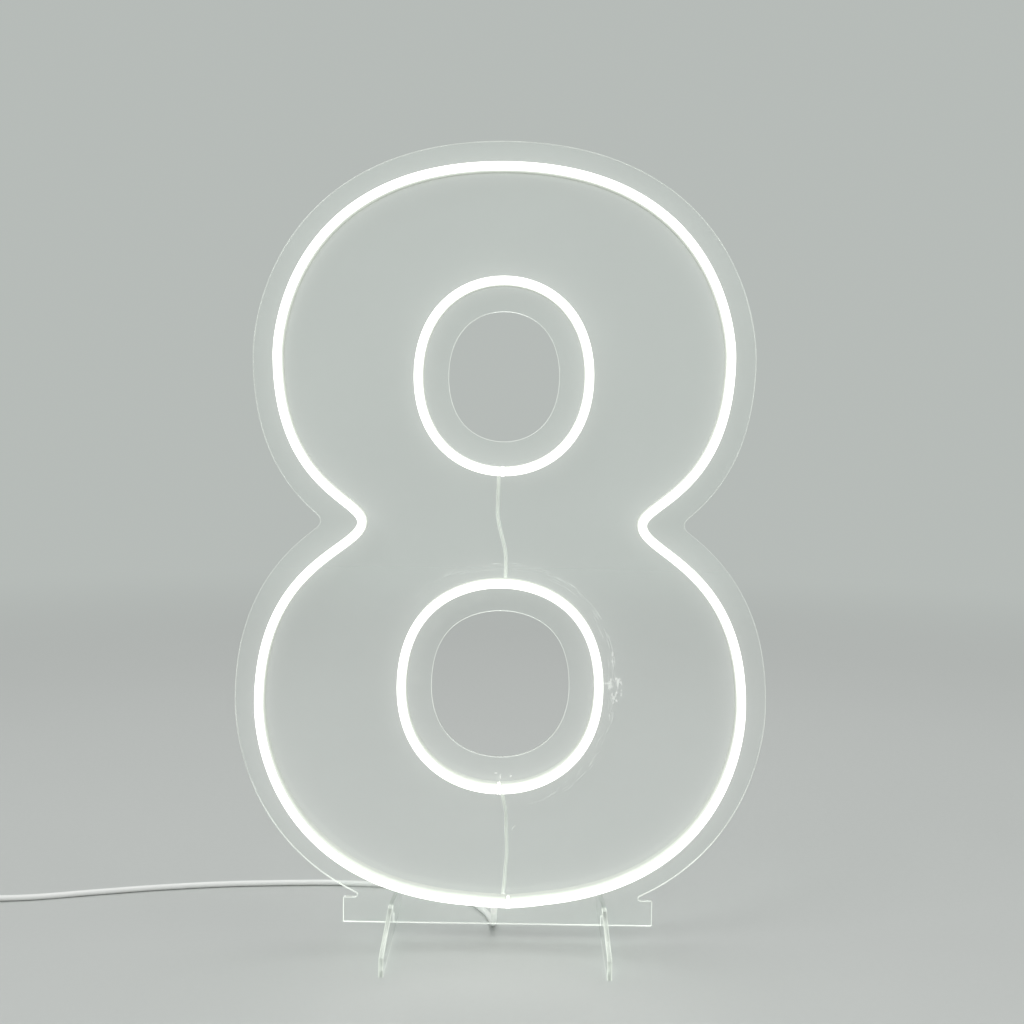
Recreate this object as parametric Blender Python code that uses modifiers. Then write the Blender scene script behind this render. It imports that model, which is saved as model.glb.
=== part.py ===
"""Neon number light: a figure 8 of glowing silicone tube on a clear board with two slot-in feet.

Metres, +Z up. The origin is on the table, under the middle of the board.
The front, where the tubes shine, faces -Y, and +X is to the right of someone who looks at it.
"""
import math

import bmesh
import bpy
import numpy as np
from mathutils import Matrix, Vector

mm = 0.001

# Sheet and clearances
sheet_thickness = 3.0 * mm
seat_gap = 0.3 * mm
cut_overrun = 1.0 * mm
weld_distance = 0.005 * mm

# Main sizes: the outer tube's middle line, from its lowest point to its crown and across its lower lobe
figure_height = 469.2 * mm
figure_width = 309.0 * mm
board_lift = 10.0 * mm
outer_above_edge = 18.3 * mm

# Outer tube: heights above its lowest point as shares of the height, and widths as shares of the width
lower_lobe_height_share = 0.2717
waist_height_share = 0.5224
upper_lobe_height_share = 0.7481
waist_width_share = 0.5760
upper_lobe_width_share = 0.9256

# Bezier handles of the outer tube, as shares of the half width or the rise beside them
crown_handle_share = 0.91
upper_lobe_over_share = 0.17
upper_lobe_under_share = 0.80
waist_over_share = 0.14
waist_under_share = 0.155
lower_lobe_over_share = 0.78
lower_lobe_under_share = 0.275
outer_foot_handle_share = 0.87

# Inner tubes, two rounded rings, as shares of the same height and width
upper_ring_height_share = 0.7212
upper_ring_over_share = 0.1279
upper_ring_under_share = 0.1279
upper_ring_width_share = 0.3495
lower_ring_height_share = 0.2971
lower_ring_over_share = 0.1439
lower_ring_under_share = 0.1396
lower_ring_width_share = 0.4091

# Bezier handles of the rings, as shares of the half width or the rise beside them
ring_side_share = 0.52
ring_end_share = 0.66
lower_ring_top_side_share = 0.40
lower_ring_top_end_share = 0.80

# Points on curved lines, and sides of round pieces
tube_fine_steps = 240
tube_longest_step = 40.0 * mm
tube_most_turn = math.radians(12.0)
board_steps = 96
board_every_steps = 4
opening_every_steps = 6
notch_point_count = 7
bar_corner_point_count = 4
corner_point_count = 5
dome_point_count = 6
wide_round_sides = 24
round_sides = 16
small_round_sides = 12
case_edge_segment_count = 3
lead_roundness_steps = 2
coil_roundness_steps = 1

# Board: its edge follows the outer tube, its two openings follow the rings
board_margin = 17.4 * mm
waist_extra_margin = 1.7 * mm
waist_extra_reach = 60.0 * mm
opening_margin = 18.8 * mm
waist_notch_radius = 5.0 * mm
notch_touching_share = 0.99
shoulder_notch_radius = 1.5 * mm
bar_half_width = 101.0 * mm
bar_height = 16.7 * mm
bar_corner_radius = 0.8 * mm
wire_hole_radius = 1.7 * mm

# Feet
foot_spacing = 139.2 * mm
foot_half_length = 67.0 * mm
foot_crest_height = 22.0 * mm
foot_toe_height = 11.8 * mm
foot_crest_half_length = 5.0 * mm
foot_slot_floor = 16.0 * mm

# Silicone tube section, seen along the tube: width along the board, depth away from it
tube_width = 6.0 * mm
tube_depth = 12.0 * mm
tube_dome_depth = 2.6 * mm
channel_width = 4.4 * mm
channel_floor = 1.2 * mm
channel_depth = 3.2 * mm
slit_width = 1.0 * mm
joint_gap = 0.4 * mm
plug_thickness = 1.5 * mm
plug_peg_length = 2.0 * mm
plug_peg_clearance = 0.5 * mm

# Light strips in the tubes
strip_width = 3.8 * mm
strip_thickness = 0.4 * mm
strip_end_clearance = 1.0 * mm
chip_length = 3.0 * mm
chip_width = 2.6 * mm
chip_height = 0.8 * mm
chip_pitch = 12.5 * mm

# Twin-core wires on the back of the board
core_radius = 0.72 * mm
core_arc_share = 0.8
core_point_count = 7
wire_leg_radius = 0.7 * mm
upper_wire_start_x = -2.7 * mm
upper_wire_sway = 3.9 * mm
upper_wire_end_x = 2.5 * mm
upper_sway_share = 0.75
wire_steps = 6
lower_wire_start_x = 1.6 * mm
lower_wire_sway = 5.4 * mm
lower_wire_end_x = 3.6 * mm
feed_wire_x = -2.4 * mm
feed_wire_length = 3.0 * mm

# Shrink sleeve between the feed wire and the lead
splice_radius = 2.4 * mm
splice_neck_radius = 2.1 * mm
splice_length = 10.5 * mm
splice_taper = 1.6 * mm
splice_tilt = math.radians(20.0)

# Power lead
lead_diameter = 4.0 * mm
lead_floor_gap = 0.1 * mm
lead_spacing = 9.0 * mm
route_steps = 40

# Points of the lead chosen by hand: where it drops off the sleeve, runs back and goes away to the left
lead_by_hand = [
    (-0.0025, 0.0108, 0.0083),
    (-0.0028, 0.0155, 0.0045),
    (-0.0034, 0.0220, 0.0025),
    (-0.0048, 0.0310, 0.0022),
    (-0.0095, 0.0460, 0.0021),
    (-0.0205, 0.0650, 0.0021),
    (-0.0430, 0.0850, 0.0021),
    (-0.0750, 0.0960, 0.0021),
    (-0.1120, 0.0996, 0.0021),
    (-0.1560, 0.0975, 0.0021),
    (-0.2010, 0.0923, 0.0021),
    (-0.2450, 0.0830, 0.0021),
    (-0.2857, 0.0714, 0.0021),
    (-0.3300, 0.0585, 0.0021),
]

# Run from the coil and height of the tail's points chosen by hand, from the coil's top to the adapter
tail_by_hand = [
    (0.012, 0.0146),
    (0.024, 0.0096),
    (0.036, 0.0047),
    (0.046, 0.0026),
    (0.056, 0.0024),
    (0.066, 0.0042),
    (0.076, 0.0079),
]

# Coil of the lead
coil_x = -386.0 * mm
coil_y = 21.0 * mm
coil_mean_radius = 21.6 * mm
coil_start_turn_share = 0.28
coil_end_turn_share = 0.5
coil_whole_turns = 9
coil_layers = 4
coil_turn_gap = 0.55 * mm
coil_steps_per_turn = 24
coil_climb_turn_share = 0.5
coil_neighbour_steps = 8

# Tie round the coil
tie_width = 8.0 * mm
tie_thickness = 0.6 * mm
tie_turn_share = 0.86

# Plug-in adapter
adapter_width = 40.0 * mm
adapter_length = 66.0 * mm
adapter_back_height = 21.0 * mm
adapter_front_height = 8.0 * mm
adapter_wall = 2.0 * mm
adapter_corner_radius = 5.0 * mm
adapter_lip_height = 1.6 * mm
adapter_lip_wall = 0.9 * mm
post_radius = 2.2 * mm
post_height = 2.5 * mm
post_inset = 5.5 * mm
circuit_board_thickness = 1.6 * mm
circuit_board_clearance = 0.8 * mm
transformer_core_width = 17.0 * mm
transformer_core_length = 14.0 * mm
transformer_core_height = 13.0 * mm
transformer_core_leg = 4.0 * mm
transformer_winding_radius = 6.6 * mm
capacitor_radius = 5.0 * mm
capacitor_height = 13.5 * mm
capacitor_edge = 0.6 * mm
capacitor_from_core = 3.0 * mm
pin_radius = 2.0 * mm
pin_length = 19.0 * mm
pin_spacing = 19.0 * mm
pin_from_end = 17.0 * mm
pin_flange_radius = 3.6 * mm
pin_flange_thickness = 1.2 * mm
pin_tip_length = 1.4 * mm
pin_tip_radius_share = 0.6
relief_length = 20.0 * mm
relief_big_radius = 4.0 * mm
relief_small_radius = 2.7 * mm
relief_groove_count = 5
relief_groove_depth = 0.5 * mm
relief_collar_radius = 5.2 * mm
relief_collar_thickness = 1.6 * mm
relief_neck_length = 2.0 * mm
relief_height = 10.5 * mm
tail_run = 92.0 * mm

# Heights and depths that follow from the sizes above
board_half = sheet_thickness / 2
outer_foot_z = board_lift + outer_above_edge
lower_lobe_z = outer_foot_z + lower_lobe_height_share * figure_height
waist_z = outer_foot_z + waist_height_share * figure_height
upper_lobe_z = outer_foot_z + upper_lobe_height_share * figure_height
crown_z = outer_foot_z + figure_height
lower_lobe_half_width = figure_width / 2
waist_half_width = waist_width_share * lower_lobe_half_width
upper_lobe_half_width = upper_lobe_width_share * lower_lobe_half_width
upper_ring_z = outer_foot_z + upper_ring_height_share * figure_height
upper_ring_over = upper_ring_over_share * figure_height
upper_ring_under = upper_ring_under_share * figure_height
upper_ring_half_width = upper_ring_width_share * lower_lobe_half_width
lower_ring_z = outer_foot_z + lower_ring_height_share * figure_height
lower_ring_over = lower_ring_over_share * figure_height
lower_ring_under = lower_ring_under_share * figure_height
lower_ring_half_width = lower_ring_width_share * lower_lobe_half_width
bar_top_z = board_lift + bar_height
tube_back_y = -(board_half + seat_gap)
wire_back_y = board_half + seat_gap
foot_slot_width = sheet_thickness + 2 * seat_gap
joint_half = joint_gap / 2
tube_end_x = joint_half + plug_thickness + seat_gap
lead_radius = lead_diameter / 2
coil_pitch = lead_diameter + coil_turn_gap
coil_rest_z = lead_floor_gap + tie_thickness + seat_gap + lead_radius
coil_turns = coil_whole_turns + coil_end_turn_share - coil_start_turn_share
coil_turns_per_layer = coil_turns / coil_layers
lid_base_z = adapter_back_height + seat_gap
components_z = adapter_wall + post_height + circuit_board_thickness + 2 * seat_gap


# Scene and materials

def clear_scene():
    for thing in list(bpy.data.objects):
        bpy.data.objects.remove(thing, do_unlink=True)


def new_collection(name):
    collection = bpy.data.collections.new(name)
    bpy.context.scene.collection.children.link(collection)
    return collection


def new_material(name, colour, roughness, metallic=0.0, alpha=1.0, glow=0.0):
    material = bpy.data.materials.new(name)
    material.use_nodes = True
    shader = material.node_tree.nodes["Principled BSDF"]
    shader.inputs["Base Color"].default_value = (*colour, 1.0)
    shader.inputs["Roughness"].default_value = roughness
    shader.inputs["Metallic"].default_value = metallic
    shader.inputs["Alpha"].default_value = alpha
    shader.inputs["Emission Color"].default_value = (*colour, 1.0)
    shader.inputs["Emission Strength"].default_value = glow
    material.diffuse_color = (*colour, alpha)
    return material


clear_scene()
parts = new_collection("neon_number_light")
guides = new_collection("cutters_and_profiles")
acrylic = new_material("clear_acrylic", (0.86, 0.90, 0.88), 0.05, alpha=0.35)
silicone = new_material("glowing_silicone", (1.0, 0.97, 0.90), 0.45, glow=3.0)
plug_silicone = new_material("plug_silicone", (0.93, 0.93, 0.90), 0.5)
strip_white = new_material("strip_white", (0.90, 0.90, 0.86), 0.5)
wire_vinyl = new_material("wire_vinyl", (0.78, 0.80, 0.78), 0.35)
shrink_white = new_material("shrink_white", (0.84, 0.84, 0.82), 0.45)
lead_vinyl = new_material("lead_vinyl", (0.80, 0.82, 0.82), 0.4)
tie_white = new_material("tie_white", (0.72, 0.73, 0.73), 0.5)
case_plastic = new_material("case_plastic", (0.86, 0.86, 0.84), 0.4)
pin_brass = new_material("pin_brass", (0.80, 0.72, 0.50), 0.3, metallic=1.0)
board_green = new_material("circuit_green", (0.05, 0.25, 0.12), 0.5)
ferrite = new_material("ferrite", (0.06, 0.06, 0.07), 0.6)
capacitor_sleeve = new_material("capacitor_sleeve", (0.05, 0.07, 0.12), 0.35)


# Small tools

def add_part(name, data, material, matrix=None):
    data.materials.clear()
    data.materials.append(material)
    thing = bpy.data.objects.new(name, data)
    parts.objects.link(thing)
    if matrix is not None:
        thing.matrix_world = matrix
    return thing


def add_guide(name, data, matrix=None):
    thing = bpy.data.objects.new(name, data)
    guides.objects.link(thing)
    thing.hide_render = True
    thing.display_type = 'WIRE'
    if matrix is not None:
        thing.matrix_world = matrix
    return thing


def add_boolean(thing, other, operation):
    modifier = thing.modifiers.new(operation.lower(), 'BOOLEAN')
    modifier.operation = operation
    modifier.solver = 'EXACT'
    modifier.object = other


def upright():
    """The turn that stands a flat drawing up: drawing x, y become world X, Z and its depth -Y."""
    return Matrix.Rotation(math.radians(90.0), 4, 'X')


def along_x():
    """The turn for a drawing seen along the board: drawing x, y become world Z, -Y, its depth X."""
    return Matrix(((0, 0, 1, 0), (0, -1, 0, 0), (1, 0, 0, 0), (0, 0, 0, 1)))


def along_y():
    """The turn that lays a turned piece's Z axis along world -Y."""
    return Matrix.Rotation(math.radians(90.0), 4, 'X')


def flat_drawing(name, loops, thickness=0.0):
    """A flat outline with any holes in it, given a thickness on both sides of its plane."""
    curve = bpy.data.curves.new(name, 'CURVE')
    curve.dimensions = '2D'
    curve.fill_mode = 'BOTH'
    curve.extrude = thickness / 2
    for loop in loops:
        spline = curve.splines.new('POLY')
        spline.points.add(len(loop) - 1)
        for point, (x, y) in zip(spline.points, loop):
            point.co = (x, y, 0.0, 1.0)
        spline.use_cyclic_u = True
    return curve


def mesh_of(curve, matrix=None):
    """The welded mesh that a curve makes, with its place left out."""
    helper = bpy.data.objects.new(curve.name, curve)
    guides.objects.link(helper)
    bpy.context.view_layer.update()
    shape = helper.evaluated_get(bpy.context.evaluated_depsgraph_get())
    mesh = bpy.data.meshes.new_from_object(shape)
    bpy.data.objects.remove(helper, do_unlink=True)
    work = bmesh.new()
    work.from_mesh(mesh)
    bmesh.ops.remove_doubles(work, verts=work.verts, dist=weld_distance)
    bmesh.ops.recalc_face_normals(work, faces=work.faces)
    if matrix is not None:
        work.transform(matrix)
    work.to_mesh(mesh)
    work.free()
    return mesh


def box_mesh(name, size, centre):
    work = bmesh.new()
    bmesh.ops.create_cube(work, size=1.0)
    bmesh.ops.scale(work, vec=size, verts=work.verts)
    bmesh.ops.translate(work, vec=centre, verts=work.verts)
    mesh = bpy.data.meshes.new(name)
    work.to_mesh(mesh)
    work.free()
    return mesh


def cylinder_mesh(name, radius, depth, matrix, sides=round_sides):
    work = bmesh.new()
    bmesh.ops.create_cone(work, cap_ends=True, segments=sides, radius1=radius, radius2=radius, depth=depth)
    work.transform(matrix)
    mesh = bpy.data.meshes.new(name)
    work.to_mesh(mesh)
    work.free()
    return mesh


def turned_part(name, profile, material, matrix):
    """A profile of (radius, height) pairs, top to bottom, turned round the Z axis."""
    mesh = bpy.data.meshes.new(name)
    points = [(radius, 0.0, height) for radius, height in profile]
    mesh.from_pydata(points, [(i, i + 1) for i in range(len(points) - 1)], [])
    thing = add_part(name, mesh, material, matrix)
    screw = thing.modifiers.new("turn", 'SCREW')
    screw.axis = 'Z'
    screw.steps = round_sides
    screw.render_steps = round_sides
    screw.use_merge_vertices = True
    screw.merge_threshold = weld_distance
    screw.use_smooth_shade = True
    return thing


def arc(centre_x, centre_y, radius, start, end, count):
    """Points on an arc, from the angle start to the angle end, both ends included."""
    angles = np.linspace(start, end, count)
    return [(centre_x + radius * math.cos(a), centre_y + radius * math.sin(a)) for a in angles]


def circle(centre_x, centre_y, radius, count):
    return arc(centre_x, centre_y, radius, 0.0, 2 * math.pi, count + 1)[:-1]


def rounded_rectangle(width, length, radius):
    quarter = math.pi / 2
    x = width / 2 - radius
    y = length / 2 - radius
    corners = [(x, y), (-x, y), (-x, -y), (x, -y)]
    points = []
    for number, (cx, cy) in enumerate(corners):
        points += arc(cx, cy, radius, number * quarter, (number + 1) * quarter, corner_point_count)
    return points


# Lines of the figure: each is half a loop of Bezier knots, from its lowest point round the right side up.
# A knot is (x, z, handle back, handle on), with both handles as steps from the knot.

def outer_knots():
    low_handle = outer_foot_handle_share * lower_lobe_half_width
    top_handle = crown_handle_share * upper_lobe_half_width
    lower_lobe_rise = lower_lobe_z - outer_foot_z
    waist_rise = waist_z - lower_lobe_z
    upper_lobe_rise = upper_lobe_z - waist_z
    crown_rise = crown_z - upper_lobe_z
    return [
        (0.0, outer_foot_z, (-low_handle, 0.0), (low_handle, 0.0)),
        (lower_lobe_half_width, lower_lobe_z, (0.0, -lower_lobe_under_share * lower_lobe_rise),
         (0.0, lower_lobe_over_share * waist_rise)),
        (waist_half_width, waist_z, (0.0, -waist_under_share * waist_rise),
         (0.0, waist_over_share * upper_lobe_rise)),
        (upper_lobe_half_width, upper_lobe_z, (0.0, -upper_lobe_under_share * upper_lobe_rise),
         (0.0, upper_lobe_over_share * crown_rise)),
        (0.0, crown_z, (top_handle, 0.0), (-top_handle, 0.0)),
    ]


def ring_knots(middle_z, half_width, over, under, top_side_share, top_end_share):
    low_handle = ring_side_share * half_width
    top_handle = top_side_share * half_width
    return [
        (0.0, middle_z - under, (-low_handle, 0.0), (low_handle, 0.0)),
        (half_width, middle_z, (0.0, -ring_end_share * under), (0.0, top_end_share * over)),
        (0.0, middle_z + over, (top_handle, 0.0), (-top_handle, 0.0)),
    ]


def bezier_line(knots, steps):
    """Places and unit tangents along the knots by the cubic Bezier formula, so many steps a segment."""
    places = []
    tangents = []
    t = np.linspace(0.0, 1.0, steps, endpoint=False)[:, None]
    for (x0, z0, _, on), (x3, z3, back, _) in zip(knots[:-1], knots[1:]):
        a = np.array((x0, z0))
        d = np.array((x3, z3))
        b = a + on
        c = d + back
        places.append((1 - t) ** 3 * a + 3 * t * (1 - t) ** 2 * b + 3 * t ** 2 * (1 - t) * c + t ** 3 * d)
        tangents.append((1 - t) ** 2 * (b - a) + 2 * t * (1 - t) * (c - b) + t ** 2 * (d - c))
    last_x, last_z, last_back, _ = knots[-1]
    places.append(np.array([(last_x, last_z)]))
    tangents.append(-np.array([last_back]))
    places = np.vstack(places)
    tangents = np.vstack(tangents)
    return places, tangents / np.linalg.norm(tangents, axis=1)[:, None]


def tube_half_line(half):
    """Half of a tube's middle line, with points closer together where it bends.

    The tube's end lies level over its plug's peg. After it, each step between two points uses up
    one unit of length / tube_longest_step + turn / tube_most_turn.
    """
    places, tangents = bezier_line(half, tube_fine_steps)
    foot_z = places[0, 1]
    level_x = tube_end_x + plug_peg_length
    kept = places[:, 0] > level_x
    kept[-1] = True
    places = np.vstack([(level_x, foot_z), places[kept]])
    tangents = np.vstack([(1.0, 0.0), tangents[kept]])
    lengths = np.linalg.norm(np.diff(places, axis=0), axis=1)
    angles = np.unwrap(np.arctan2(tangents[:, 1], tangents[:, 0]))
    spent = lengths / tube_longest_step + np.abs(np.diff(angles)) / tube_most_turn
    effort = np.concatenate([[0.0], np.cumsum(spent)])
    wanted = np.linspace(0.0, effort[-1], int(math.ceil(effort[-1])) + 1)
    chosen = np.stack([np.interp(wanted, effort, places[:, i]) for i in range(2)], axis=1)
    return np.vstack([(tube_end_x, foot_z), chosen])


def whole_line(half_points):
    """The half line and its mirror image, as one open run that starts and ends at the joint."""
    return np.vstack([half_points, half_points[-2::-1] * (-1.0, 1.0)])


def shortened(line, amount):
    """The same facets with a little less of the first and the last one."""
    line = line.copy()
    for end, inner in ((0, 1), (-1, -2)):
        step = line[inner] - line[end]
        line[end] += amount * step / np.linalg.norm(step)
    return line


outer_half = outer_knots()
upper_ring_half = ring_knots(upper_ring_z, upper_ring_half_width, upper_ring_over, upper_ring_under,
                             ring_side_share, ring_end_share)
lower_ring_half = ring_knots(lower_ring_z, lower_ring_half_width, lower_ring_over, lower_ring_under,
                             lower_ring_top_side_share, lower_ring_top_end_share)


# Backboard

def notch_arc(centre, start_point, end_point, radius):
    """The short way round the centre of a notch, from one flank of the board's edge to the next."""
    start = math.atan2(start_point[1] - centre[1], start_point[0] - centre[0])
    end = math.atan2(end_point[1] - centre[1], end_point[0] - centre[0])
    turn = (end - start + math.pi) % (2 * math.pi) - math.pi
    return arc(centre[0], centre[1], radius, start, start + turn, notch_point_count)


def board_half_edge():
    """Right half of the board's edge, from the shoulder on the foot bar up to the crown.

    The edge lies one margin outside the outer tube's line, and a little more beside the waist. Where a
    cutter of the notch radius can't reach, between the lobes and above the bar, it is that cutter's arc.
    """
    places, tangents = bezier_line(outer_half, board_steps)
    outward = np.stack([tangents[:, 1], -tangents[:, 0]], axis=1)
    from_waist = (places[:, 1] - waist_z) / waist_extra_reach
    margin = board_margin + waist_extra_margin * np.exp(-from_waist ** 2)
    edge = places + margin[:, None] * outward
    centres = edge + waist_notch_radius * outward
    shoulder_centres = edge + shoulder_notch_radius * outward
    apart = np.linalg.norm(centres[:, None, :] - places[None, :, :], axis=2) - margin
    clear = apart.min(axis=1) > waist_notch_radius * notch_touching_share
    above_bar = shoulder_centres[:, 1] > bar_top_z + shoulder_notch_radius
    kept = np.flatnonzero(clear & above_bar)
    centre = shoulder_centres[kept[0]]
    points = notch_arc(centre, (centre[0], bar_top_z), edge[kept[0]], shoulder_notch_radius)[:-1]
    breaks = np.flatnonzero(np.diff(kept) > 1)
    starts = np.concatenate([[0], breaks + 1])
    ends = np.concatenate([breaks, [len(kept) - 1]])
    for number, (start, end) in enumerate(zip(starts, ends)):
        run = kept[start:end + 1]
        chosen = list(run[:-1:board_every_steps]) + [run[-1]]
        points += [tuple(edge[i]) for i in chosen]
        if number + 1 < len(starts):
            after = kept[starts[number + 1]]
            centre = (centres[run[-1]] + centres[after]) / 2
            points += notch_arc(centre, edge[run[-1]], edge[after], waist_notch_radius)[1:-1]
    return points


def bar_half_edge():
    """Right half of the foot bar, from the middle of its lower edge out to the top of its end."""
    slot_left = foot_spacing / 2 - foot_slot_width / 2
    slot_right = foot_spacing / 2 + foot_slot_width / 2
    slot_top = foot_slot_floor + seat_gap / 2
    corner_x = bar_half_width - bar_corner_radius
    low_corner_z = board_lift + bar_corner_radius
    high_corner_z = bar_top_z - bar_corner_radius
    points = [(slot_left, board_lift), (slot_left, slot_top)]
    points += [(slot_right, slot_top), (slot_right, board_lift)]
    points += arc(corner_x, low_corner_z, bar_corner_radius, -math.pi / 2, 0.0, bar_corner_point_count)
    points += arc(corner_x, high_corner_z, bar_corner_radius, 0.0, math.pi / 2, bar_corner_point_count)
    return points


def mirrored_loop(half):
    """A closed loop from its right half, which runs from low to high and may start or end on the middle."""
    left = [(-x, z) for x, z in reversed(half) if x > weld_distance]
    return half + left


def ring_opening(half):
    """The loop one opening margin inside a ring."""
    places, tangents = bezier_line(half, board_steps)
    inward = np.stack([-tangents[:, 1], tangents[:, 0]], axis=1)
    edge = places + opening_margin * inward
    edge[-1, 0] = 0.0
    return mirrored_loop([tuple(point) for point in edge[::opening_every_steps]])


def wire_holes():
    """Middles of the holes that the wires pass through, all behind the tubes."""
    return {
        "upper_start": (upper_wire_start_x, upper_ring_z - upper_ring_under),
        "upper_end": (upper_wire_end_x, lower_ring_z + lower_ring_over),
        "lower_start": (lower_wire_start_x, lower_ring_z - lower_ring_under),
        "lower_end": (lower_wire_end_x, outer_foot_z),
        "feed": (feed_wire_x, outer_foot_z),
    }


def make_backboard():
    edge = mirrored_loop(bar_half_edge() + board_half_edge())
    loops = [edge, ring_opening(upper_ring_half), ring_opening(lower_ring_half)]
    loops += [circle(x, z, wire_hole_radius, small_round_sides) for x, z in wire_holes().values()]
    add_part("backboard", flat_drawing("backboard", loops, sheet_thickness), acrylic, upright())


# Feet

def make_foot(name, side):
    """A plate with a crest at the board, where its slot from above laps the board's slot from below."""
    slot_half = foot_slot_width / 2
    floor = foot_slot_floor - seat_gap / 2
    front = [(-foot_half_length, 0.0), (-foot_half_length, foot_toe_height),
             (-foot_crest_half_length, foot_crest_height),
             (-slot_half, foot_crest_height), (-slot_half, floor)]
    outline = front + [(-y, z) for y, z in reversed(front)]
    turn = Matrix(((0, 0, 1, 0), (1, 0, 0, 0), (0, 1, 0, 0), (0, 0, 0, 1)))
    place = Matrix.Translation((side * foot_spacing / 2, 0.0, 0.0)) @ turn
    add_part(name, flat_drawing(name, [outline], sheet_thickness), acrylic, place)


# Tubes

def tube_outline():
    """Outside of the tube's section: flat back, straight sides and a domed face, from the right side over."""
    half = tube_width / 2
    side = tube_depth - tube_dome_depth
    angles = np.linspace(0.0, math.pi, dome_point_count)
    dome = [(half * math.cos(a), side + tube_dome_depth * math.sin(a)) for a in angles]
    return [(half, 0.0)] + dome + [(-half, 0.0)]


def tube_section():
    """The outline with the strip's channel and the slit that it was pressed in through."""
    channel = channel_width / 2
    slit = slit_width / 2
    top = channel_floor + channel_depth
    inside = [(-slit, 0.0), (-slit, channel_floor), (-channel, channel_floor), (-channel, top),
              (channel, top), (channel, channel_floor), (slit, channel_floor), (slit, 0.0)]
    return (tube_outline() + inside)[::-1]


def swept_curve(name, line, section, back_y):
    """A section carried along a flat run of points, which lies in a plane parallel to the board."""
    profile = add_guide(name + "_section", flat_drawing(name + "_section", [section]))
    profile.data.fill_mode = 'NONE'
    curve = bpy.data.curves.new(name, 'CURVE')
    curve.dimensions = '2D'
    curve.bevel_mode = 'OBJECT'
    curve.bevel_object = profile
    curve.use_fill_caps = True
    spline = curve.splines.new('POLY')
    spline.points.add(len(line) - 1)
    for point, (x, z) in zip(spline.points, line):
        point.co = (x, z, 0.0, 1.0)
    return curve, Matrix.Translation((0.0, back_y, 0.0)) @ upright()


def make_sleeve(name, half):
    line = whole_line(tube_half_line(half))
    curve, place = swept_curve(name, line, tube_section(), tube_back_y)
    add_part(name, curve, silicone, place)


def make_end_plugs(name, joint_z):
    """Two silicone plugs that close the ends of one tube, with a peg each in its channel."""
    peg_width = channel_width - 2 * plug_peg_clearance
    peg_height = channel_depth - 2 * plug_peg_clearance
    peg_size = (plug_peg_length + plug_thickness, peg_height, peg_width)
    peg_y = -(channel_floor + channel_depth / 2)
    for side_name, side in (("right", 1), ("left", -1)):
        node = name + "_" + side_name
        centre_x = side * (joint_half + plug_thickness / 2)
        place = Matrix.Translation((centre_x, tube_back_y, joint_z))
        mesh = mesh_of(flat_drawing(node, [tube_outline()], plug_thickness), along_x())
        plug = add_part(node, mesh, plug_silicone, place)
        peg_centre = (side * plug_peg_length / 2, peg_y, 0.0)
        peg = add_guide(node + "_peg", box_mesh(node + "_peg", peg_size, peg_centre), place)
        add_boolean(plug, peg, 'UNION')


# Light strips

def strip_section():
    half = strip_width / 2
    low = channel_floor + seat_gap
    return [(half, low), (half, low + strip_thickness), (-half, low + strip_thickness), (-half, low)]


def strip_line(half):
    """The tube's own facets, begun a little way past the plug's peg."""
    line = whole_line(tube_half_line(half))
    return shortened(line[1:-1], strip_end_clearance)


def chip_boxes(name, line):
    """Boxes at an even pitch along the strip, each turned to follow it."""
    steps = np.diff(line, axis=0)
    lengths = np.linalg.norm(steps, axis=1)
    along = np.concatenate([[0.0], np.cumsum(lengths)])
    angles = np.unwrap(np.arctan2(steps[:, 1], steps[:, 0]))
    middles = (along[:-1] + along[1:]) / 2
    count = int((along[-1] - 2 * chip_length) // chip_pitch) + 1
    first = (along[-1] - (count - 1) * chip_pitch) / 2
    root_y = tube_back_y - channel_floor - seat_gap - strip_thickness / 2
    size = (chip_length, chip_height + strip_thickness / 2, chip_width)
    work = bmesh.new()
    for number in range(count):
        at = first + number * chip_pitch
        x = np.interp(at, along, line[:, 0])
        z = np.interp(at, along, line[:, 1])
        turn = Matrix.Rotation(-np.interp(at, middles, angles), 3, 'Y')
        made = bmesh.ops.create_cube(work, size=1.0)["verts"]
        bmesh.ops.scale(work, vec=size, verts=made)
        bmesh.ops.translate(work, vec=(0.0, -size[1] / 2, 0.0), verts=made)
        bmesh.ops.rotate(work, cent=(0.0, 0.0, 0.0), matrix=turn, verts=made)
        bmesh.ops.translate(work, vec=(x, root_y, z), verts=made)
    mesh = bpy.data.meshes.new(name)
    work.to_mesh(mesh)
    work.free()
    print(name, count, "light chips on", round(along[-1], 3), "m")
    return add_guide(name, mesh)


def make_strip(name, half):
    line = strip_line(half)
    curve, place = swept_curve(name, line, strip_section(), tube_back_y)
    strip = add_part(name, mesh_of(curve, place), strip_white)
    add_boolean(strip, chip_boxes(name + "_chips", line), 'UNION')


# Twin-core wires

def twin_core_section():
    """Two round cores side by side, as one outline that lies flat on the board."""
    sweep = core_arc_share * math.pi
    right = arc(core_radius, core_radius, core_radius, -sweep, sweep, core_point_count)
    left = arc(-core_radius, core_radius, core_radius, math.pi - sweep, math.pi + sweep, core_point_count)
    return right + left


def wire_knots(points):
    """Knots through points from top to bottom, each with vertical handles a third of the way on."""
    knots = []
    for number, (x, z) in enumerate(points):
        above = points[max(number - 1, 0)][1] - z
        below = z - points[min(number + 1, len(points) - 1)][1]
        knots.append((x, z, (0.0, above / 3), (0.0, -below / 3)))
    return knots


def leg_cylinder(name, x, z):
    """One core's way through its hole, from the wire down to the board's front."""
    front = -board_half
    back = wire_back_y + core_radius
    depth = back - front
    turn = Matrix.Rotation(math.radians(90.0), 4, 'X')
    place = Matrix.Translation((x, front + depth / 2, z)) @ turn
    return add_guide(name, cylinder_mesh(name, wire_leg_radius, depth, place, small_round_sides))


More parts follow.
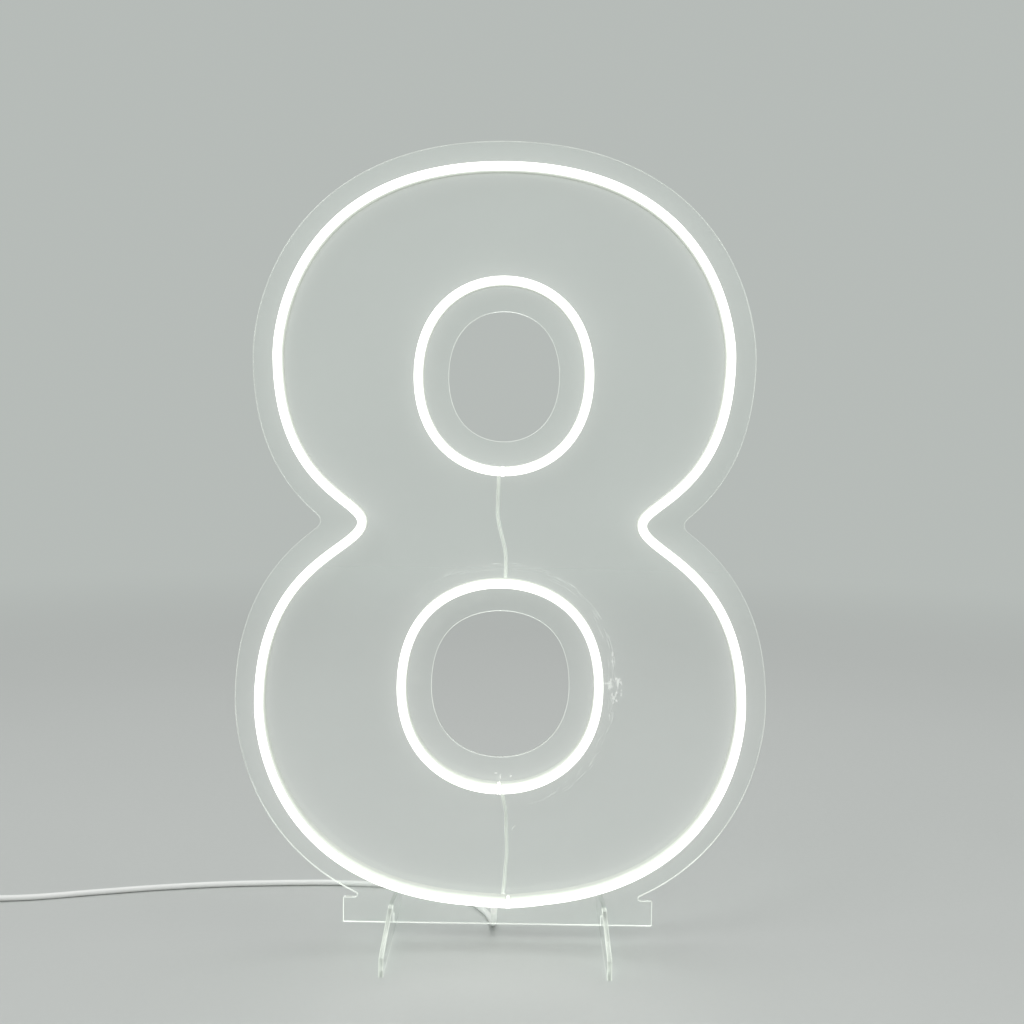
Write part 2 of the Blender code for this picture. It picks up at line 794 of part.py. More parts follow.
def make_twin_wire(name, points, legs):
    """A flat wire on the back of the board, with a leg through the board at each named end."""
    line, _ = bezier_line(wire_knots(points), wire_steps)
    section = [(x, -y) for x, y in twin_core_section()]
    curve, place = swept_curve(name, line, section, wire_back_y)
    mesh = mesh_of(curve, place)
    wire = add_part(name, mesh, wire_vinyl)
    for number, (x, z) in enumerate(legs):
        add_boolean(wire, leg_cylinder(name + "_leg_" + str(number), x, z), 'UNION')


def make_wires():
    holes = wire_holes()
    end_length = 2 * core_radius
    top_x, top_z = holes["upper_start"]
    low_x, low_z = holes["upper_end"]
    third = (top_z - low_z) / 3
    points = [(top_x, top_z + end_length), (-upper_wire_sway, top_z - third),
              (low_x * upper_sway_share, low_z + third), (low_x, low_z - end_length)]
    make_twin_wire("upper_link_wire", points, [holes["upper_start"], holes["upper_end"]])
    top_x, top_z = holes["lower_start"]
    low_x, low_z = holes["lower_end"]
    middle_z = (top_z + low_z) / 2
    points = [(top_x, top_z + end_length), (lower_wire_sway, middle_z), (low_x, low_z - end_length)]
    make_twin_wire("lower_link_wire", points, [holes["lower_start"], holes["lower_end"]])
    x, z = holes["feed"]
    points = [(x, z + end_length), (x, z - feed_wire_length)]
    make_twin_wire("feed_wire", points, [holes["feed"]])


# Shrink sleeve: its top meets the feed wire's end, its foot leans back to send the lead off

def splice_frame():
    """The shrink sleeve's place and turn, its lower end and the way the lead leaves it.

    Local Z runs up the sleeve's axis, and the origin is its lower end.
    """
    top_y = wire_back_y + splice_neck_radius * math.cos(splice_tilt)
    wire_edge_y = wire_back_y + 2 * core_radius
    edge_z = outer_foot_z - feed_wire_length - seat_gap
    top_z = edge_z - (wire_edge_y - top_y) * math.tan(splice_tilt)
    axis = Vector((0.0, -math.sin(splice_tilt), math.cos(splice_tilt)))
    low = Vector((feed_wire_x, top_y, top_z)) - splice_length * axis
    turn = Matrix.Rotation(splice_tilt, 4, 'X')
    return Matrix.Translation(low) @ turn, low, -axis


def make_splice():
    place, _, _ = splice_frame()
    profile = [(0.0, splice_length), (splice_neck_radius, splice_length),
               (splice_radius, splice_length - splice_taper), (splice_radius, splice_taper),
               (splice_neck_radius, 0.0), (0.0, 0.0)]
    turned_part("splice_sleeve", profile, shrink_white, place)


# Power lead

def smooth_points(route, spacing):
    """Even points on a Catmull-Rom curve through a route whose first and last steps stay straight."""
    route = np.array(route)
    pieces = []
    t = np.linspace(0.0, 1.0, route_steps, endpoint=False)[:, None]
    for a, b, c, d in zip(route[:-3], route[1:-2], route[2:-1], route[3:]):
        square = 2 * a - 5 * b + 4 * c - d
        cube = 3 * b - a - 3 * c + d
        pieces.append((2 * b + (c - a) * t + square * t ** 2 + cube * t ** 3) / 2)
    dense = np.vstack(pieces + [route[-2:-1]])
    along = np.concatenate([[0.0], np.cumsum(np.linalg.norm(np.diff(dense, axis=0), axis=1))])
    wanted = np.linspace(0.0, along[-1], int(round(along[-1] / spacing)) + 1)
    even = np.stack([np.interp(wanted, along, dense[:, i]) for i in range(3)], axis=1)
    points = np.vstack([route[:1], even, route[-1:]])
    return points, np.linalg.norm(np.diff(points, axis=0), axis=1).sum()


def tube_curve(name, points, roundness):
    curve = bpy.data.curves.new(name, 'CURVE')
    curve.dimensions = '3D'
    curve.bevel_depth = lead_radius
    curve.bevel_resolution = roundness
    curve.use_fill_caps = True
    spline = curve.splines.new('POLY')
    spline.points.add(len(points) - 1)
    for point, place in zip(spline.points, points):
        point.co = (*place, 1.0)
    return curve


def coil_radius_range():
    span = coil_turns_per_layer * coil_pitch
    return coil_mean_radius - span / 2, coil_mean_radius + span / 2


def coil_points():
    """Loops piled in layers, counter-clockwise from above.

    The radius runs steadily in and out again, one layer each way, as a triangle wave of the turns.
    The height climbs one layer in the half turn round each reversal.
    """
    inner, outer = coil_radius_range()
    turns = np.linspace(0.0, coil_turns, int(coil_turns * coil_steps_per_turn) + 1)
    phase = turns / coil_turns_per_layer
    wave = np.abs((phase + 1) % 2 - 1)
    radius = outer - wave * (outer - inner)
    height = np.zeros_like(turns)
    for layer in range(1, coil_layers):
        climb_start = layer * coil_turns_per_layer - coil_climb_turn_share / 2
        height += np.clip((turns - climb_start) / coil_climb_turn_share, 0.0, 1.0)
    angle = 2 * math.pi * (coil_start_turn_share + turns)
    x = coil_x + radius * np.cos(angle)
    y = coil_y + radius * np.sin(angle)
    z = coil_rest_z + height * coil_pitch
    points = np.stack([x, y, z], axis=1)
    start = points[0] - straight_end(points[1] - points[0])
    end = points[-1] + straight_end(points[-1] - points[-2])
    return np.vstack([start, points, end])


def straight_end(step):
    """One lead diameter along the level direction of a step."""
    level = np.array((step[0], step[1], 0.0))
    return lead_diameter * level / np.linalg.norm(level)


def least_gap(points):
    """Least clear space between the tube and itself, for points that aren't close neighbours along it."""
    apart = np.linalg.norm(points[:, None, :] - points[None, :, :], axis=2)
    index = np.arange(len(points))
    far = np.abs(index[:, None] - index[None, :]) > coil_neighbour_steps
    return apart[far].min() - lead_diameter


def lead_route():
    """The lead's free stretch: off the sleeve, down to the table, back and away to the left."""
    _, low, away = splice_frame()
    start = low + seat_gap * away
    second = low + lead_radius * away
    coil_start = coil_points()[0]
    step = coil_points()[1] - coil_start
    step = step / np.linalg.norm(step)
    end = coil_start - seat_gap * step
    before_end = coil_start - 2 * lead_diameter * step
    return [tuple(start), tuple(second)] + lead_by_hand + [tuple(before_end), tuple(end)]


def make_lead():
    points, free_length = smooth_points(lead_route(), lead_spacing)
    add_part("power_lead", tube_curve("power_lead", points, lead_roundness_steps), lead_vinyl)
    coil = coil_points()
    add_part("lead_coil", tube_curve("lead_coil", coil, coil_roundness_steps), lead_vinyl)
    coil_length = np.linalg.norm(np.diff(coil, axis=0), axis=1).sum()
    print("free lead", round(free_length, 4), "m, coil", round(coil_length, 4), "m")
    print("least gap in the coil", round(least_gap(coil) / mm, 3), "mm")


def make_tie():
    """A flat band round the pile of loops, in the plane that cuts the loops square."""
    inner, outer = coil_radius_range()
    room = lead_radius + seat_gap
    width = outer - inner + 2 * room
    height = (coil_layers - 1) * coil_pitch + 2 * room
    middle_radius = (outer + inner) / 2
    outside = rounded_rectangle(width + 2 * tie_thickness, height + 2 * tie_thickness,
                                lead_radius + tie_thickness)
    inside = rounded_rectangle(width, height, lead_radius)
    angle = 2 * math.pi * tie_turn_share
    middle_z = lead_floor_gap + tie_thickness + height / 2
    centre = (coil_x + middle_radius * math.cos(angle), coil_y + middle_radius * math.sin(angle), middle_z)
    place = Matrix.Translation(centre) @ Matrix.Rotation(angle, 4, 'Z') @ upright()
    add_part("coil_tie", flat_drawing("coil_tie", [outside, inside], tie_width), tie_white, place)


# Plug-in adapter: it lies on its back, with its pins up and its lead towards the coil

def coil_exit():
    """Where the coil's last loop ends and the level direction it ends in."""
    points = coil_points()
    step = points[-1] - points[-2]
    return points[-1], step / np.linalg.norm(step)


def adapter_frame():
    """Place of the adapter: its origin is under the middle of its back, and +Y points at its lead."""
    end, direction = coil_exit()
    centre_x = end[0] + lead_diameter * direction[0]
    centre_y = end[1] - tail_run - relief_length - adapter_length / 2
    return Matrix.Translation((centre_x, centre_y, 0.0))


def open_shell(name, height, open_z):
    """A box of five sides that stands on zero, without the one at the height open_z."""
    mesh = box_mesh(name, (adapter_width, adapter_length, height), (0.0, 0.0, height / 2))
    work = bmesh.new()
    work.from_mesh(mesh)
    open_faces = [face for face in work.faces if abs(face.calc_center_median().z - open_z) < weld_distance]
    bmesh.ops.delete(work, geom=open_faces, context='FACES_ONLY')
    work.to_mesh(mesh)
    work.free()
    return mesh


def add_shell_modifiers(thing):
    """Rounds every edge but the open rim, then gives the sides a wall of one thickness."""
    bevel = thing.modifiers.new("edges", 'BEVEL')
    bevel.width = adapter_corner_radius
    bevel.segments = case_edge_segment_count
    bevel.limit_method = 'ANGLE'
    solidify = thing.modifiers.new("wall", 'SOLIDIFY')
    solidify.thickness = adapter_wall
    solidify.offset = -1.0
    solidify.use_even_offset = True


def frame_block(name, outside_inset, inside_inset, low_z, high_z):
    """A flat rectangular frame, inset from the adapter's outside, between two heights."""
    outer = rounded_rectangle(adapter_width - 2 * outside_inset, adapter_length - 2 * outside_inset,
                              adapter_corner_radius - outside_inset)
    inner = rounded_rectangle(adapter_width - 2 * inside_inset, adapter_length - 2 * inside_inset,
                              adapter_corner_radius - inside_inset)
    lift = Matrix.Translation((0.0, 0.0, (low_z + high_z) / 2))
    return mesh_of(flat_drawing(name, [outer, inner], high_z - low_z), lift)


def upright_cylinder(name, radius, low_z, high_z, x, y, sides):
    middle = Matrix.Translation((x, y, (low_z + high_z) / 2))
    return cylinder_mesh(name, radius, high_z - low_z, middle, sides)


def post_places():
    x = adapter_width / 2 - adapter_wall - post_inset
    y = adapter_length / 2 - adapter_wall - post_inset
    return [(x, y), (-x, y), (-x, -y), (x, -y)]


def make_adapter_back(place):
    """The tray, with four posts under the circuit board and a hole for the strain relief."""
    shell = open_shell("adapter_back", adapter_back_height, adapter_back_height)
    tray = add_part("adapter_back", shell, case_plastic, place)
    add_shell_modifiers(tray)
    for number, (x, y) in enumerate(post_places()):
        name = "tray_post_" + str(number)
        top = adapter_wall + post_height
        post = upright_cylinder(name, post_radius, adapter_wall / 2, top, x, y, small_round_sides)
        add_boolean(tray, add_guide(name, post, place), 'UNION')
    through = Matrix.Translation((0.0, adapter_length / 2, relief_height)) @ along_y()
    radius = relief_big_radius + seat_gap
    hole = cylinder_mesh("relief_hole", radius, 2 * (adapter_wall + cut_overrun), through, wide_round_sides)
    add_boolean(tray, add_guide("relief_hole", hole, place), 'DIFFERENCE')


def make_adapter_front(place):
    """The lid, with a lip that drops inside the tray's walls and two holes for the pins."""
    lid_place = place @ Matrix.Translation((0.0, 0.0, lid_base_z))
    shell = open_shell("adapter_front", adapter_front_height, 0.0)
    lid = add_part("adapter_front", shell, case_plastic, lid_place)
    add_shell_modifiers(lid)
    inside = adapter_wall + seat_gap + adapter_lip_wall
    ledge = frame_block("lid_ledge", adapter_wall / 2, inside, seat_gap, adapter_lip_height)
    lip = frame_block("lid_lip", adapter_wall + seat_gap, inside, -adapter_lip_height, adapter_lip_height / 2)
    add_boolean(lid, add_guide("lid_ledge", ledge, lid_place), 'UNION')
    add_boolean(lid, add_guide("lid_lip", lip, lid_place), 'UNION')
    low = adapter_front_height - adapter_wall - cut_overrun
    high = adapter_front_height + cut_overrun
    for number, (x, y) in enumerate(pin_places()):
        name = "pin_hole_" + str(number)
        hole = upright_cylinder(name, pin_radius + seat_gap, low, high, x, y, wide_round_sides)
        add_boolean(lid, add_guide(name, hole, lid_place), 'DIFFERENCE')


def pin_places():
    y = -adapter_length / 2 + pin_from_end
    return [(-pin_spacing / 2, y), (pin_spacing / 2, y)]


def make_pins(place):
    """Turned pins whose flanges sit under the lid."""
    flange_top = lid_base_z + adapter_front_height - adapter_wall - seat_gap
    tip = lid_base_z + adapter_front_height + pin_length
    tip_radius = pin_tip_radius_share * pin_radius
    profile = [(0.0, tip), (tip_radius, tip), (pin_radius, tip - pin_tip_length), (pin_radius, flange_top),
               (pin_flange_radius, flange_top), (pin_flange_radius, flange_top - pin_flange_thickness),
               (0.0, flange_top - pin_flange_thickness)]
    names = ("adapter_pin_left", "adapter_pin_right")
    for name, (x, y) in zip(names, pin_places()):
        turned_part(name, profile, pin_brass, place @ Matrix.Translation((x, y, 0.0)))


def make_circuit_board(place):
    """The board stands on the posts and stops short of the strain relief's collar."""
    inset = adapter_wall + circuit_board_clearance
    low_y = -adapter_length / 2 + inset
    high_y = adapter_length / 2 - inset - relief_collar_thickness - seat_gap
    outline = rounded_rectangle(adapter_width - 2 * inset, high_y - low_y, adapter_corner_radius - inset)
    middle_z = components_z - seat_gap - circuit_board_thickness / 2
    lift = Matrix.Translation((0.0, (low_y + high_y) / 2, middle_z))
    mesh = mesh_of(flat_drawing("adapter_circuit_board", [outline], circuit_board_thickness), lift)
    add_part("adapter_circuit_board", mesh, board_green, place)


def make_transformer(place):
    """A square ferrite core with its round winding, as one piece."""
    size = (transformer_core_width, transformer_core_length, transformer_core_height)
    centre = (0.0, -transformer_core_length / 2, components_z + transformer_core_height / 2)
    core = add_part("adapter_transformer", box_mesh("adapter_transformer", size, centre), ferrite, place)
    window = (transformer_core_width - 2 * transformer_core_leg, transformer_core_length + 2 * cut_overrun,
              transformer_core_height - 2 * transformer_core_leg)
    add_boolean(core, add_guide("core_window", box_mesh("core_window", window, centre), place), 'DIFFERENCE')
    winding_height = transformer_core_height - transformer_core_leg
    winding = cylinder_mesh("winding", transformer_winding_radius, winding_height, Matrix.Translation(centre))
    add_boolean(core, add_guide("winding", winding, place), 'UNION')


def make_capacitor(place):
    inner = capacitor_radius - capacitor_edge
    profile = [(0.0, capacitor_height), (inner, capacitor_height),
               (capacitor_radius, capacitor_height - capacitor_edge), (capacitor_radius, capacitor_edge),
               (inner, 0.0), (0.0, 0.0)]
    y = capacitor_radius + capacitor_from_core
    spot = place @ Matrix.Translation((0.0, y, components_z))
    turned_part("adapter_capacitor", profile, capacitor_sleeve, spot)


def make_relief(place):
    """A ribbed, tapered sleeve whose collar sits inside the tray's end wall."""
    inside = -(adapter_wall + seat_gap)
    step = (relief_length - relief_neck_length) / (2 * relief_groove_count)
    profile = [(0.0, relief_length), (relief_small_radius, relief_length)]
    for number in range(2 * relief_groove_count - 1, 0, -1):
        along = relief_neck_length + number * step
        radius = relief_big_radius + along / relief_length * (relief_small_radius - relief_big_radius)
        depth = relief_groove_depth if number % 2 else 0.0
        profile.append((radius - depth, along))
    profile += [(relief_big_radius, relief_neck_length), (relief_big_radius, inside),
                (relief_collar_radius, inside), (relief_collar_radius, inside - relief_collar_thickness),
                (0.0, inside - relief_collar_thickness)]
    middle = place @ Matrix.Translation((0.0, adapter_length / 2, relief_height))
    turned_part("adapter_strain_relief", profile, case_plastic, middle @ along_y().inverted())


def tail_route():
    """Off the top of the coil, down to the table, and up into the strain relief."""
    end, direction = coil_exit()
    start = end + seat_gap * direction
    x, start_y, start_z = end + lead_diameter * direction
    end_y = end[1] - tail_run
    by_hand = [(x, start_y - run, height) for run, height in tail_by_hand]
    last = [(x, end_y + lead_diameter, relief_height), (x, end_y + seat_gap, relief_height)]
    return [tuple(start), (x, start_y, start_z)] + by_hand + last


def make_tail():
    points, length = smooth_points(tail_route(), lead_spacing)
    add_part("lead_tail", tube_curve("lead_tail", points, lead_roundness_steps), lead_vinyl)
    print("tail of the lead", round(length, 4), "m")


def make_adapter():
    place = adapter_frame()
    make_adapter_back(place)
    make_adapter_front(place)
    make_pins(place)
    make_circuit_board(place)
    make_transformer(place)
    make_capacitor(place)
    make_relief(place)
    make_tail()


# The whole light

make_backboard()
make_foot("foot_left", -1)
make_foot("foot_right", 1)
make_sleeve("outer_sleeve", outer_half)
make_sleeve("upper_ring_sleeve", upper_ring_half)
make_sleeve("lower_ring_sleeve", lower_ring_half)
make_end_plugs("outer_end_plug", outer_foot_z)
make_end_plugs("upper_ring_end_plug", upper_ring_z - upper_ring_under)
make_end_plugs("lower_ring_end_plug", lower_ring_z - lower_ring_under)
make_strip("outer_led_strip", outer_half)
make_strip("upper_ring_led_strip", upper_ring_half)
make_strip("lower_ring_led_strip", lower_ring_half)
make_wires()
make_splice()
make_lead()
make_tie()
make_adapter()
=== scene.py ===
# %% [markdown]
# # A neon number light, dressed for its picture
# The real thing is a figure 8 drawn with milky silicone tubes that hold strips of light. They stand on a
# clear sheet that is cut to the figure's outline, and two clear plates carry the sheet.
# The solids of the packed model are loaded first. They stay where they are, and every finer piece made
# here takes its place from the same sizes, so each one can stand in for its solid.
# %% The packed model and the tools
import math

import bmesh
import bpy
import numpy as np
from mathutils import Matrix, Vector
from mathutils.geometry import delaunay_2d_cdt


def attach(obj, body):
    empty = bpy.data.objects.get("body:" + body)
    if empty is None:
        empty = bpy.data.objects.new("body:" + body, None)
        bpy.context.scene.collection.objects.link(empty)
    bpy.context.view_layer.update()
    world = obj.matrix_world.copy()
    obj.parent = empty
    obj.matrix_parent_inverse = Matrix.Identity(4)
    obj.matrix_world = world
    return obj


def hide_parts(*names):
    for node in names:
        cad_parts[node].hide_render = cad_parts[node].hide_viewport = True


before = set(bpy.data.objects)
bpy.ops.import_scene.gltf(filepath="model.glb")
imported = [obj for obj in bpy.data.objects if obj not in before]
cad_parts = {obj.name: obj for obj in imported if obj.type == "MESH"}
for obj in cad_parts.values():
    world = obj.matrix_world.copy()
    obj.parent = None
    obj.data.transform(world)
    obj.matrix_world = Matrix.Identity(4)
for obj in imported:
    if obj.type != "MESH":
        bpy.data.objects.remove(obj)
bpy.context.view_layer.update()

mm = 0.001

# %% [markdown]
# ## Camera
# A photograph fixes how the object is seen, so the camera is made before anything else. The straight foot
# bar and the two rings were used to find its place: about 0.9 m in front, a little to the right and 0.34 m
# above the floor, turned four degrees down and rolled by less than one degree.
# A camera's own axes are built from these angles as three vectors, which says plainly where it points.
# %% Camera
picture_side = 1024
focal_pixels = 1403.0
camera_place = Vector((11.6 * mm, -899.5 * mm, 340.0 * mm))
pixels_down = 93.0
pixels_left = 8.5
camera_roll = math.radians(0.75)


def camera_axes():
    """Right, up and forward: forward is turned down and left, then right and up are rolled about it."""
    down = math.atan(pixels_down / focal_pixels)
    left = math.atan(pixels_left / focal_pixels)
    forward = Vector((-math.sin(left) * math.cos(down), math.cos(left) * math.cos(down), -math.sin(down)))
    right = forward.cross(Vector((0, 0, 1))).normalized()
    up = right.cross(forward)
    rolled_right = right * math.cos(camera_roll) + up * math.sin(camera_roll)
    rolled_up = up * math.cos(camera_roll) - right * math.sin(camera_roll)
    return rolled_right, rolled_up, forward


camera_data = bpy.data.cameras.new("studio_camera")
camera_data.lens = camera_data.sensor_width * focal_pixels / picture_side
camera = bpy.data.objects.new("studio_camera", camera_data)
bpy.context.scene.collection.objects.link(camera)
right, up, forward = camera_axes()
camera.matrix_world = Matrix((
    (right.x, up.x, -forward.x, camera_place.x),
    (right.y, up.y, -forward.y, camera_place.y),
    (right.z, up.z, -forward.z, camera_place.z),
    (0, 0, 0, 1),
))
bpy.context.scene.camera = camera
bpy.context.scene.view_settings.view_transform = "Standard"
print("lens", round(camera_data.lens, 2), "mm")

# %% [markdown]
# ## Sizes
# These are the same values that the solids were drawn from, so a finer piece that uses them can't drift
# away from its solid. Heights on the figure are shares of its height above the foot of its middle line, and
# widths are shares of its half width.
# %% Sizes of the figure
sheet_thickness = 3.0 * mm
seat_gap = 0.3 * mm
board_half = sheet_thickness / 2
figure_height = 469.2 * mm
half_width = 309.0 / 2 * mm
board_lift = 10.0 * mm
foot_line_rise = 18.3 * mm
foot_z = board_lift + foot_line_rise
lower_lobe_z = foot_z + 0.2717 * figure_height
waist_z = foot_z + 0.5224 * figure_height
upper_lobe_z = foot_z + 0.7481 * figure_height
crown_z = foot_z + figure_height
waist_half_width = 0.5760 * half_width
upper_half_width = 0.9256 * half_width
upper_ring_z = foot_z + 0.7212 * figure_height
upper_ring_over = 0.1279 * figure_height
upper_ring_under = 0.1279 * figure_height
upper_ring_half_width = 0.3495 * half_width
lower_ring_z = foot_z + 0.2971 * figure_height
lower_ring_over = 0.1439 * figure_height
lower_ring_under = 0.1396 * figure_height
lower_ring_half_width = 0.4091 * half_width
tube_back_y = -(board_half + seat_gap)
wire_back_y = board_half + seat_gap

# %% [markdown]
# ## Middle lines
# Each tube follows half a loop of Bezier knots, from its joint at the bottom up to its crown, and the left
# half mirrors the right. A knot says where the line passes, and its two handles say how fast it turns.
# %% Knots of the three tubes


def outer_knots():
    """Knots (x, z, handle back, handle on) of the outer tube, from its joint to its crown."""
    rises = np.diff([foot_z, lower_lobe_z, waist_z, upper_lobe_z, crown_z])
    low = 0.87 * half_width
    top = 0.91 * upper_half_width
    return [
        (0.0, foot_z, (-low, 0.0), (low, 0.0)),
        (half_width, lower_lobe_z, (0.0, -0.275 * rises[0]), (0.0, 0.78 * rises[1])),
        (waist_half_width, waist_z, (0.0, -0.155 * rises[1]), (0.0, 0.14 * rises[2])),
        (upper_half_width, upper_lobe_z, (0.0, -0.80 * rises[2]), (0.0, 0.17 * rises[3])),
        (0.0, crown_z, (top, 0.0), (-top, 0.0)),
    ]


def ring_knots(middle_z, width, over, under, top_side, top_end):
    """Knots of a rounded ring: flat at its foot and crown, upright at its sides.

    top_side and top_end are how far the upper handles reach, as shares of the half width and the height.
    """
    return [
        (0.0, middle_z - under, (-0.52 * width, 0.0), (0.52 * width, 0.0)),
        (width, middle_z, (0.0, -0.66 * under), (0.0, top_end * over)),
        (0.0, middle_z + over, (top_side * width, 0.0), (-top_side * width, 0.0)),
    ]


upper_ring_size = (upper_ring_half_width, upper_ring_over, upper_ring_under)
lower_ring_size = (lower_ring_half_width, lower_ring_over, lower_ring_under)
figure_lines = {
    "outer": outer_knots(),
    "upper_ring": ring_knots(upper_ring_z, *upper_ring_size, top_side=0.52, top_end=0.66),
    "lower_ring": ring_knots(lower_ring_z, *lower_ring_size, top_side=0.40, top_end=0.80),
}
print("knots", {name: len(knots) for name, knots in figure_lines.items()})

# %% [markdown]
# Two knots, with one handle of each, fix one segment between them. The cubic Bezier formula is worked out
# for all points of a segment at once, and its derivative gives the way that the line runs there.
# %% Points on a line


def unit(vectors):
    """Each row divided by its own length."""
    return vectors / np.linalg.norm(vectors, axis=1)[:, None]


def distance_along(line):
    """How far along a line of points each point lies: the running sum of its steps."""
    return np.concatenate([[0.0], np.cumsum(np.linalg.norm(np.diff(line, axis=0), axis=1))])


def bezier_line(knots, steps):
    """Places and unit tangents by the cubic Bezier formula, so many steps to each segment."""
    t = np.linspace(0.0, 1.0, steps, endpoint=False)[:, None]
    places, tangents = [], []
    for (x0, z0, _, on), (x3, z3, back, _) in zip(knots[:-1], knots[1:]):
        a, d = np.array((x0, z0)), np.array((x3, z3))
        b, c = a + on, d + back
        places.append((1 - t) ** 3 * a + 3 * t * (1 - t) ** 2 * b + 3 * t ** 2 * (1 - t) * c + t ** 3 * d)
        tangents.append((1 - t) ** 2 * (b - a) + 2 * t * (1 - t) * (c - b) + t ** 2 * (d - c))
    places = np.vstack(places + [[knots[-1][:2]]])
    tangents = np.vstack(tangents + [-np.array([knots[-1][2]])])
    return places, unit(tangents)


def spaced(line, step):
    """The same line with its points an even step apart, measured along it."""
    along = distance_along(line)
    wanted = np.linspace(0.0, along[-1], int(math.ceil(along[-1] / step)) + 1)
    return np.stack([np.interp(wanted, along, line[:, i]) for i in range(line.shape[1])], axis=1)


def line_length(line):
    """The sum of the steps between the points of a line."""
    return float(np.linalg.norm(np.diff(line, axis=0), axis=1).sum())


for name, knots in figure_lines.items():
    print(name, "tube", round(2 * line_length(bezier_line(knots, 200)[0]), 3), "m")

# %% [markdown]
# ## From arrays to pieces
# Nearly every piece here is a sheet of points: rows along it, columns round it. One function turns such a
# grid into a closed mesh, with whole arrays of indices instead of a loop over points, and closes its two
# ends. The normals are then turned outwards, and creases sharper than 35 degrees stay sharp.
# %% Grids of points
crease_angle = math.radians(35.0)


def finished(name, vertices, faces, slots=None, flat=None):
    """A mesh object at the origin from points and faces, facing outwards. slots and flat are per face."""
    mesh = bpy.data.meshes.new(name)
    mesh.from_pydata(vertices.tolist(), [], faces)
    if slots is not None:
        mesh.polygons.foreach_set("material_index", np.asarray(slots, np.int32))
    work = bmesh.new()
    work.from_mesh(mesh)
    bmesh.ops.recalc_face_normals(work, faces=work.faces)
    work.to_mesh(mesh)
    work.free()
    mesh.polygons.foreach_set("use_smooth", np.ones(len(faces), bool))
    mesh.set_sharp_from_angle(angle=crease_angle)
    if flat is not None:
        mesh.polygons.foreach_set("use_smooth", ~np.asarray(flat, bool))
    piece = bpy.data.objects.new(name, mesh)
    bpy.context.scene.collection.objects.link(piece)
    return piece


def grid_faces(rows, columns, closed_rows, offset=0):
    """Four-sided faces of a grid whose columns close into rings, and whose rows do so if asked."""
    i, j = np.meshgrid(np.arange(rows if closed_rows else rows - 1), np.arange(columns), indexing="ij")
    i, j = i.ravel(), j.ravel()
    below, beside = (i + 1) % rows, (j + 1) % columns
    corners = [i * columns + j, i * columns + beside, below * columns + beside, below * columns + j]
    return (np.stack(corners, axis=1) + offset).tolist()


def grid_piece(name, grid, closed_rows=False):
    """A closed piece from points[row, column]: rings of points joined row to row, with the ends capped."""
    rows, columns, _ = grid.shape
    faces = grid_faces(rows, columns, closed_rows)
    if not closed_rows:
        last = (rows - 1) * columns
        faces += [list(range(columns)), list(range(last, last + columns))]
    piece = finished(name, grid.reshape(-1, 3), faces)
    put_values(piece, "along", np.repeat(distance_along(grid.mean(axis=1)), columns))
    put_values(piece, "round", np.tile(np.arange(columns) / columns, rows))
    return piece


def put_values(piece, label, values):
    """Stores one number with each point of a piece, for its finish to read."""
    layer = piece.data.attributes.new(label, "FLOAT", "POINT")
    layer.data.foreach_set("value", values.astype(np.float32))


print("3 rings of 4 points have", len(grid_faces(3, 4, False)), "faces between them")

# %% [markdown]
# Two kinds of grid come up again and again. A profile carried along a path makes tubes, wires and a strap,
# and a profile turned round an axis makes pins. A path needs two vectors at each point, square to the way
# it runs, to hold the profile up.
# %% Profiles carried along and turned


def swept(name, path, side, over, profile, closed=False):
    """A profile carried along a path: points (a, b) of the profile go to path + a * side + b * over."""
    grid = path[:, None] + profile[:, :1] * side[:, None] + profile[:, 1:] * over[:, None]
    return grid_piece(name, grid, closed)


def full_turn(count):
    """Cosine and sine of so many even angles of one turn."""
    angle = np.linspace(0.0, 2 * math.pi, count, endpoint=False)
    return np.cos(angle), np.sin(angle)


def turned(name, profile, place, sides=48):
    """Profile points (radius, height) turned round the Z axis of place, from one flat end to the other."""
    radius, height = np.hsplit(np.array(profile), 2)
    cosine, sine = full_turn(sides)
    grid = np.stack([radius * cosine, radius * sine, height + 0 * cosine], axis=-1)
    return grid_piece(name, moved(grid, place))


def moved(points, place):
    """Points of any array shape, taken through a 4 x 4 place matrix."""
    matrix = np.array(place)
    return points @ matrix[:3, :3].T + matrix[:3, 3]


def directions(path):
    """Unit tangents of a line of points, by central differences."""
    return unit(np.gradient(path, axis=0))


def level_frame(path):
    """Side and over vectors of a path that is never quite upright: side lies level, over leans upwards."""
    tangent = directions(path)
    side = unit(np.cross(tangent, (0.0, 0.0, 1.0)))
    return side, np.cross(side, tangent)


print("a full turn in 4 steps:", np.round(full_turn(4), 3).tolist())

# %% [markdown]
# ## The lead
# The lead is a 4 mm round vinyl cable. The photograph shows it leave the board's foot to the left, and the
# rest of its 1.8 m is unseen. Here that rest is wound up as it would be for storage, just outside the
# picture, with the adapter at its end. The route is the solids' own: it drops off the shrink sleeve, lies
# down on the floor, bends away behind the board and runs into the coil's outer turn.
# It starts where the shrink sleeve ends, so the sleeve's own place, tilted off the board, comes first.
# %% Where the lead starts
lead_diameter = 4.0 * mm
lead_radius = lead_diameter / 2
splice_neck_radius = 2.1 * mm
splice_length = 10.5 * mm
splice_tilt = math.radians(20.0)
feed_wire_x = -2.4 * mm
feed_wire_length = 3.0 * mm
core_radius = 0.72 * mm


